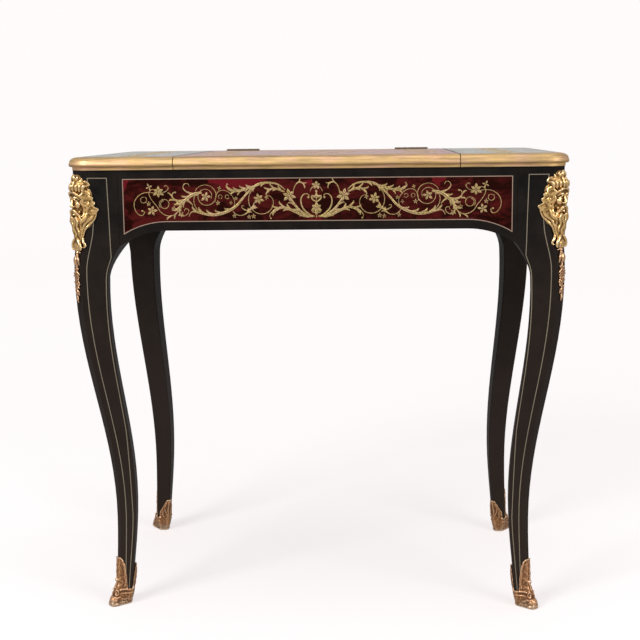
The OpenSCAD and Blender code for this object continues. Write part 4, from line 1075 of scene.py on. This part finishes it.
# Strands of one half: brow, eyelids, lower leaves and plume
MASK_SIDE = [
    ([(1.6, 12.2, 81.4), (5.5, 12.0, 83.6), (10, 9.0, 82.4), (13, 4.5, 78.5)], (1.4, 1.9, 1.5, 0.9)),
    ([(2.6, 10.0, 78.4), (5.8, 12.0, 80.2), (9.4, 9.2, 77.8)], (0.7, 1.15, 0.7)),
    ([(2.8, 10.2, 76.6), (6.0, 11.4, 75.2), (9.2, 9.2, 76.8)], (0.6, 0.95, 0.6)),
    ([(0.4, 6.4, 21), (5.2, 7.4, 17), (9.6, 6.2, 10), (11.2, 4.4, 3.6), (8.8, 4.6, 1.6)], (1.8, 2.9, 2.9, 2.2, 1.2)),
    ([(0, 5.6, 19), (3.4, 5.8, 9), (5.0, 4.6, 2.2), (3.4, 4.0, 0.8)], (2.2, 2.6, 2.0, 1.0)),
    ([(0, 5.6, 17), (0.5, 6.0, 8), (0, 4.2, 0.2)], (2.2, 2.6, 1.4)),
    ([(0.6, 5.6, 107), (2.2, 6.6, 114), (0.6, 5.2, 119.4)], (1.8, 2.5, 1.0)),
    ([(4, 5.4, 108), (7.0, 5.0, 112.5), (7.6, 3.0, 117)], (1.9, 2.3, 1.0)),
    ([(8, 4, 107), (12.0, 2.0, 110), (13.4, 0.4, 113.4)], (1.8, 2.1, 1.0)),
]
# Locks of one half: points, radius, wave, turns and tip, for moustache, beard, hairline and temple
MASK_LOCKS = [
    ([(0.6, 14.0, 64.2), (4.5, 13.8, 62.8), (8.6, 11.4, 58.2), (12.6, 8.0, 54.2), (16.2, 5.6, 55.0)], 2.3),
    ([(1.6, 11.8, 52), (3.2, 13.2, 45), (1.0, 12.4, 36), (2.6, 9.8, 28), (0.8, 7.8, 21)], 2.6, 0.7, 1.5),
    ([(5.6, 12.2, 54), (8.2, 12.2, 46), (5.8, 10.6, 38), (7.2, 8.2, 30), (4.4, 6.4, 23)], 2.7, 0.7, 1.4),
    ([(10.8, 9.4, 55), (13.2, 8.6, 48), (10.6, 7.6, 41), (11.6, 5.4, 34), (8.4, 4.4, 28)], 2.6, 0.7, 1.3),
    ([(0, 11.4, 91), (5.5, 11.6, 90.8), (10.5, 9.6, 88), (14.6, 5.6, 83.5), (16.8, 1.8, 77)], 2.2, 0.6, 1.5, 0.6),
    ([(12.6, 6.4, 84), (16.0, 3.2, 79), (14.6, 3.8, 73), (16.8, 2.2, 67), (15.0, 3.6, 61)], 2.5, 0.8, 1.2, 0.6),
]


def mask_strands():
    """Face, turban, plume and beard of the bearded mask, as (across, out, up, radius)."""
    made = [strand(*row) for row in MASK_MIDDLE]
    half = [strand(*row) for row in MASK_SIDE] + [line for row in MASK_LOCKS for line in lock(*row)]
    for i in range(8):
        a = (i - 3.5) * 5.3
        side = abs(a)
        made.append(strand([(a * 0.88, 9.8 - side * 0.36, 92.5 - side * 0.06), (a * 0.98, 12.2 - side * 0.48, 96.5),
                            (a * 1.03, 11.4 - side * 0.55, 103 - side * 0.05),
                            (a * 0.92, 7.4 - side * 0.5, 109 - side * 0.12),
                            (a * 0.78, 3.4 - side * 0.4, 111.5 - side * 0.15)], (1.6, 2.7, 3.0, 2.6, 1.4)))
    return made + both(half)


def mask_side_curls():
    """Hair swept back in waves beside the face, a pointed lock, and the drape under the beard, laid on the leg."""
    half = []
    for t in (0.0, 0.33, 0.66, 1.0):
        half += lock([(17.0 + 3.5 * t, 5.8 - 2.4 * t, 96 - 3 * t), (17.4 + 6.2 * t, 6.6 - 3.0 * t, 87 - 2 * t),
                      (16.2 + 7.4 * t, 6.4 - 2.8 * t, 78.5 - t), (19.4 + 7.6 * t, 5.4 - 2.4 * t, 67.5 + 2.5 * t),
                      (23.8 + 5.6 * t, 3.6 - 1.4 * t, 57.5 + 4.5 * t)], 1.9 - 0.2 * t, 2.3, 3.1 + 0.5 * t, 0.95)
    half += [coil((20.4, 85.5), 4.8, 3.6, 1.0, 200, -500, (1.2, 1.6, 1.4, 1.0), 1.6),
             coil((19.4, 74.5), 5.8, 3.6, 1.0, 120, -500, (1.2, 1.6, 1.4, 1.0), 1.6),
             coil((25.2, 76.0), 3.2, 2.8, 1.0, 20, -480, (1.0, 1.4, 1.2, 0.9), 1.3),
             coil((25.8, 60.5), 3.0, 3.4, 1.0, 60, -500, (1.2, 1.6, 1.5, 1.3), 1.6)]
    for t, r, drop in ((0.0, 1.7, 0), (0.26, 2.6, 5), (0.6, 1.8, -3), (0.82, 2.5, 3), (1.0, 1.6, 0)):
        half += lock([(28.6 - 11.0 * t, 1.8 + 3.4 * t, 58.0 + 2.5 * t),
                      (25.4 - 9.6 * t, 2.4 + 4.2 * t, 49 + t + drop * 0.4),
                      (19.4 - 8.4 * t, 2.6 + 4.4 * t, 38.5 + drop), (13.8 - 4.6 * t, 2.6 + 4.2 * t, 28.5 + drop),
                      (9.6 - 4.6 * t, 2.6 + 3.0 * t, 18.5 + drop * 0.7)], r, 0.7, 1.2, 0.6)
    half.append(strand([(9.0, 2.4, 22), (12.6, 2.6, 16), (16.0, 1.8, 8.5), (13.6, 2.2, 5)], (1.8, 2.4, 2.0, 1.0)))
    return both(half)


# Rounded forms, those off the middle line for both sides: (across, out, up), radii and lean
MASK_BALLS = [
    ((0, -2.0, 74), (13.6, 13.2, 22), 0), ((0, 0.4, 86), (13.5, 11.2, 10), 0), ((0, -3.0, 101), (19.5, 13.0, 12), 0),
    ((0, 1.0, 44), (12.5, 9.6, 21), 0), ((0, 1.5, 13), (7.4, 5.0, 13), 0), ((0, 7.0, 60.0), (9.0, 5.6, 8.0), 0),
    ((0, -2, 111), (12.0, 6.4, 8.5), 0),
    ((7.0, 7.9, 72.0), (5.0, 4.1, 6.0), 0.2), ((6.0, 9.3, 77.8), (3.0, 2.1, 2.0), 0),
    ((2.5, 13.4, 69.2), (1.7, 1.9, 1.5), 0), ((15.5, -7.0, 80), (8.0, 11, 19), 0.1),
    ((15, -5.5, 60), (9.0, 9.5, 12), 0.2), ((22, -13.0, 61), (7.0, 8.2, 8.0), 0.2),
    ((13, -4.5, 42), (8.5, 7.2, 15), 0.5),
]


def mask_balls(seat):
    """Rounded forms of the head under the strands, as ((across, out, up), radii, lean)."""
    return [((side * a, seat(0, MASK_LOW + z) + w, MASK_LOW + z), size, side * lean)
            for (a, w, z), size, lean in MASK_BALLS for side in ((-1, 1) if a else (1,))]


def border_lines(x0, x1, y0, y1, inset, wide):
    """Four lines round a rectangle, inset from its sides."""
    a, b, c, d = x0 + inset, x1 - inset, y0 + inset, y1 - inset
    ring = [(a, c), (b, c), (b, d), (a, d), (a, c)]
    return [[(*p, wide / 2), ((p[0] + q[0]) / 2, (p[1] + q[1]) / 2, wide / 2), (*q, wide / 2)]
            for p, q in zip(ring, ring[1:])]


def sheet_plan(node):
    """Sides of a lid's sheet in millimetres, and the height of its top."""
    low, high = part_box(node)
    return low.x / MM, high.x / MM, low.y / MM, high.y / MM, high.z


class TABLE_OT_lid_scrolls(bpy.types.Operator):
    """Lays brass scrollwork and border lines on the three lids"""
    bl_idname = "table.lid_scrolls"
    bl_label = "Lid scrollwork"

    short_span, long_span, long_depth = 205, 318, 80  # what the frieze drawings are scaled from, in millimetres
    ring, ring_steps = 84, 72  # radius of the circle round the middle flower, and its steps
    corner_share = 0.76  # place of the corner flowers, as a share of the sheet's half depth

    def lay(self, name, body, strokes, height, finish="lid_inlay"):
        mesh = inlay(name, strokes, Matrix.Translation((0, 0, height)), sizes().lid_rise)
        place_piece(name, mesh, body, finish, "inlay_brass")

    def execute(self, context):
        x0, x1, y0, y1, top = sheet_plan("centre_lid_sheet")
        y_mid, reach = (y0 + y1) / 2, min(x1 - x0, y1 - y0) / 2
        out, quarters = reach * self.corner_share, [quarter * math.pi / 2 for quarter in range(4)]
        short, motif = frieze_scrolls(False), []
        for turn in quarters:
            shift = (-math.sin(turn) * out, y_mid + math.cos(turn) * out)
            motif += moved(short, reach / self.short_span, turn, shift)
        for turn in quarters:
            motif += moved(moved(drawn_middle(), 0.86, shift=(0, 36)), turn=turn, shift=(0, y_mid))
        motif += moved(flower((0, 0), 11, 8), shift=(0, y_mid))
        motif.append([(self.ring * math.cos(a), y_mid + self.ring * math.sin(a), 0.7)
                      for a in (2 * math.pi * i / self.ring_steps for i in range(self.ring_steps + 1))])
        for side in (-1, 1):
            for end in (-1, 1):
                motif += moved(flower((0, 0), 10, 6), shift=(side * out, y_mid + end * out))
        self.lay("centre_lid_inlay", "centre_lid", motif, top)
        self.lay("centre_lid_border", "centre_lid", border_lines(x0, x1, y0, y1, 7, 1.4)
                 + border_lines(x0, x1, y0, y1, 13, 0.8), top, "border")
        long = frieze_scrolls(True)
        for side, node, body in ((-1, "left_lid_sheet", "left_lid"), (1, "right_lid_sheet", "right_lid")):
            x0, x1, y0, y1, top = sheet_plan(node)
            scale = min((y1 - y0) / 2 / self.long_span, (x1 - x0) / self.long_depth)
            strokes = moved(long, scale, -side * math.pi / 2, ((x0 + x1) / 2, (y0 + y1) / 2))
            self.lay(node.replace("sheet", "inlay"), body, strokes, top)
            self.lay(node.replace("sheet", "border"), body, border_lines(x0, x1, y0, y1, 9, 1.4), top, "border")
        return {"FINISHED"}


class TABLE_OT_masks(bpy.types.Operator):
    """Models the gilt corner masks"""
    bl_idname = "table.masks"
    bl_label = "Gilt masks"

    def execute(self, context):
        leg = surface_of("front_left_leg")
        strands = on_surface(leg, mask_strands(), MASK_LOW, True) + on_surface(leg, mask_side_curls(), MASK_LOW)
        mesh = cast("mask", strands, mask_balls(leg), sizes().cast_voxel)
        at_corners(mesh, "_gilt_mask", "gilt", "gilt_bronze", "_mask")
        return {"FINISHED"}


# Flowers of the drop, as (across, up, radius, turn), and its leaves, as points and radii
DROP_FLOWERS = [(0.6, 54, 6.0, 0.4), (-3.2, 46, 5.0, 1.1), (3.4, 42, 5.0, 0.2), (-1.6, 35, 5.2, 0.7),
                (2.8, 29, 4.6, 0.3), (-2.0, 23.5, 4.4, 1.3), (1.6, 17.5, 4.0, 0.5), (-0.8, 12, 3.2, 0.9)]
DROP_LEAVES = [([(1, 0.8, 52), (5.2, 1.6, 49), (7.6, 0.7, 45.4)], (1.0, 1.5, 0.5)),
               ([(1, 0.8, 38), (5.0, 1.4, 35), (6.8, 0.6, 31)], (0.9, 1.4, 0.5)),
               ([(0.6, 0.8, 22), (3.8, 1.3, 18), (4.6, 0.6, 13)], (0.9, 1.3, 0.5))]


def floret(a, z, radius, turn, petals=5, lift=1.2):
    """A small cast flower: cupped petals round a bead."""
    made = [[(a, lift + 1.0, z, radius * 0.30), (a + 0.01, lift + 1.6, z, radius * 0.24)]]
    for i in range(petals):
        angle = turn + 2 * math.pi * i / petals
        c, s = math.cos(angle), math.sin(angle)
        made.append([(a + c * radius * t, lift + h, z + s * radius * t, radius * r)
                     for t, h, r in ((0.3, 0.0, 0.18), (0.62, 0.5, 0.30), (0.92, 0.9, 0.24), (1.08, 0.5, 0.10))])
    return made


class TABLE_OT_drops(bpy.types.Operator):
    """Models the husk and flower drops under the masks"""
    bl_idname = "table.drops"
    bl_label = "Drops"

    def execute(self, context):
        leg = surface_of("front_left_leg")
        top = MASK_LOW - DROP_LOW
        husk = [strand([(0, 1.8, top - 6), (0, 3.8, top - 14), (0, 1.6, top - 25)], (2.0, 3.1, 1.0)),
                strand([(0, 1.2, top + 1), (0, 2.4, top - 3), (0, 1.6, top - 8)], (1.3, 2.4, 1.5))]
        husk += both([strand([(1, 1.8, top - 7), (4.6, 3.0, top - 13), (6.6, 1.0, top - 22.5)], (1.8, 2.5, 0.9)),
                      strand([(0.8, 1.4, top - 1), (4.2, 2.0, top - 1.2), (6.6, 1.0, top - 4)], (1.1, 1.5, 0.6))])
        flowers = [petal for row in DROP_FLOWERS for petal in floret(*row)]
        leaves = both([strand(*row) for row in DROP_LEAVES])
        stem = [strand([(0, 0.8, top - 18), (0.6, 1.0, 40), (-0.4, 1.0, 22), (0, 0.9, 10)], (2.2, 2.2, 1.8, 1.2)),
                strand([(0, 0.9, 13), (0, 2.0, 7.5), (0, 0.9, 1.4)], (1.1, 2.3, 0.7))]
        mesh = cast("drop", on_surface(leg, husk + flowers + leaves + stem, DROP_LOW), [], sizes().cast_voxel * 0.85)
        at_corners(mesh, "_gilt_drop", "rose", "gilt_bronze", "_drop")
        return {"FINISHED"}


# Edge of the leaf that climbs from the shoe, as (across, down from the top)
LEAF_EDGE = [(4.6, 1), (7.4, 4), (8.4, 7), (8.2, 10), (9.8, 14), (10.2, 20), (11.0, 25), (10.6, 32), (11.2, 39),
             (10.8, 50)]
# Bands round the shoe: points as (degrees from the toe, lift, height) and radii, in millimetres
SHOE_BANDS = [
    ([(34, 0.4, 26), (50, 0.6, 27.5), (80, 0.6, 27.5), (110, 0.6, 27), (136, 0.5, 28)], (1.2, 1.7, 1.7, 1.7, 1.3)),
    ([(30, 0.2, 19), (60, 0.4, 20.5), (100, 0.4, 20), (134, 0.3, 20)], (0.8, 1.1, 1.1, 0.8)),
    ([(6, 0.4, 22), (12, 1.0, 26.5), (22, 1.2, 27), (28, 1.0, 22.5), (22, 1.0, 18.5), (15, 1.2, 20), (17, 1.5, 23.5)],
        (1.0, 1.4, 1.5, 1.4, 1.2, 1.2, 1.2)),
    ([(0, 0.4, 15), (14, 0.8, 15.5), (26, 0.6, 14), (40, 0.2, 15)], (1.2, 1.5, 1.2, 0.7)),
    ([(176, 0.3, 26), (166, 0.6, 36), (158, 0.5, 46), (166, 0.4, 57)], (0.7, 1.1, 1.0, 0.6)),
    ([(178, 0.3, 30), (172, 0.6, 42), (178, 0.4, 62)], (0.7, 1.2, 0.6)),
    ([(150, 0.3, 29), (148, 0.5, 35), (152, 0.4, 41)], (0.8, 1.1, 0.6)),
]


class TABLE_OT_shoes(bpy.types.Operator):
    """Models the leaf, scrolls and collar on the cast shoes"""
    bl_idname = "table.shoes"
    bl_label = "Cast shoes"

    def execute(self, context):
        base = merged_copy("front_left_shoe", "shoe_base")
        tree = BVHTree.FromPolygons([v.co for v in base.vertices], [p.vertices for p in base.polygons])
        low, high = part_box("front_left_shoe")
        middle, top = (low + high) / 2, high.z / MM
        corner = math.atan2(-1, -1)

        def round_ankle(line):
            """Points given by angle from the toe, lift and height, set on the shoe from the side."""
            placed = []
            for turn, lift, z, r in line:
                ray = Vector((math.cos(corner + math.radians(turn)), math.sin(corner + math.radians(turn)), 0))
                hit = tree.ray_cast(Vector((middle.x, middle.y, z * MM)) + ray * ANKLE_RAY, -ray)[0]
                if hit:
                    hit = hit / MM + ray * lift
                    placed.append((hit.x, hit.y, z, r))
            return placed

        def ring(z, radius, lift=0.0, reach=180):
            return round_ankle([(turn, lift, z, radius) for turn in range(-reach, reach + 1, 8)])
        shoe = surface_of("front_left_shoe", "front_left_leg")
        lines = [strand([(0, 0.4, 28), (0, 0.9, 50), (0, 0.5, top - 1)], (1.7, 1.4, 0.7), 8)]
        half = [strand([(0.4, 0.3, top - 0.4)] + [(a, 0.1, top - down) for a, down in LEAF_EDGE],
                       (0.7, 1.1, 0.8, 1.3, 0.8, 1.3, 0.9, 1.3, 0.9, 1.2, 1.0), 6)]
        for z, a in ((36, 9), (48, 8.8), (60, 8.0), (70, 5.6)):
            half.append(strand([(0.8, -0.2, z - 11), (a * 0.45, -0.1, z - 4), (a, -0.2, z + 2.5)], (0.6, 0.9, 0.5)))
        lines = on_surface(shoe, lines + both(half))
        turned = both([strand(*row) for row in SHOE_BANDS])
        lines += [line for line in map(round_ankle, turned) if len(line) > 1]
        lines += [ring(2.0, 1.9, -0.2), ring(5.2, 1.3, -0.3, 100)]
        toe = [((0, shoe(0, 9) - 6.0, 9.0), (9.0, 7.6, 8.4), 0), ((0, shoe(0, 4) - 7.4, 4.4), (11.0, 8.0, 4.2), 0)]
        mesh = cast("shoe", lines, toe, sizes().shoe_voxel, base, 6, 16)
        at_corners(mesh, "_cast_shoe", "shoe", "shoe_bronze", "_shoe")
        dress("shoe", "shoe_screws")
        return {"FINISHED"}


class TABLE_OT_edges(bpy.types.Operator):
    """Gives the moulded edge of the top its brass"""
    bl_idname = "table.edges"
    bl_label = "Brass edge"

    def execute(self, context):
        for part in (*LIDS, "rear_strip"):
            smoothed_piece(part + "_edge", "_moulding", "edge", "edge_brass", 28)
        return {"FINISHED"}


class TABLE_OT_fittings(bpy.types.Operator):
    """Gives the hinges, screws, mirror and its frame their finish"""
    bl_idname = "table.fittings"
    bl_label = "Hinges and mirror"

    def execute(self, context):
        dress("hinge", "fixed_hinge_leaves", "fixed_hinge_screws",
              *(lid + part for lid in LIDS for part in ("_hinge_leaves", "_screws")))
        dress("steel", "hinge_pins")
        dress("frame", "mirror_frame")
        dress("mirror", "mirror_plate")
        return {"FINISHED"}


OPERATORS = (TABLE_OT_stage, TABLE_OT_woodwork, TABLE_OT_shell, TABLE_OT_frieze_scrolls, TABLE_OT_lid_scrolls,
             TABLE_OT_masks, TABLE_OT_drops, TABLE_OT_shoes, TABLE_OT_edges, TABLE_OT_fittings)


class TABLE_PT_panel(bpy.types.Panel):
    """Lists the steps that dress the table"""
    bl_idname = "TABLE_PT_panel"
    bl_label = "Writing table"
    bl_space_type = "VIEW_3D"
    bl_region_type = "UI"
    bl_category = "Table"

    def draw(self, context):
        for step in OPERATORS:
            self.layout.operator(step.bl_idname)


CLASSES = (TableSizes, TableColours, *OPERATORS, TABLE_PT_panel)


def register():
    for made in CLASSES:
        bpy.utils.register_class(made)
    bpy.types.Scene.table_sizes = PointerProperty(type=TableSizes)
    bpy.types.Scene.table_colours = PointerProperty(type=TableColours)


def unregister():
    del bpy.types.Scene.table_sizes, bpy.types.Scene.table_colours
    for made in reversed(CLASSES):
        bpy.utils.unregister_class(made)


def main():
    register()
    for step in OPERATORS:
        space, name = step.bl_idname.split(".")
        getattr(getattr(bpy.ops, space), name)()
    bpy.data.objects.remove(profile_curve())


if __name__ == "__main__":
    main()
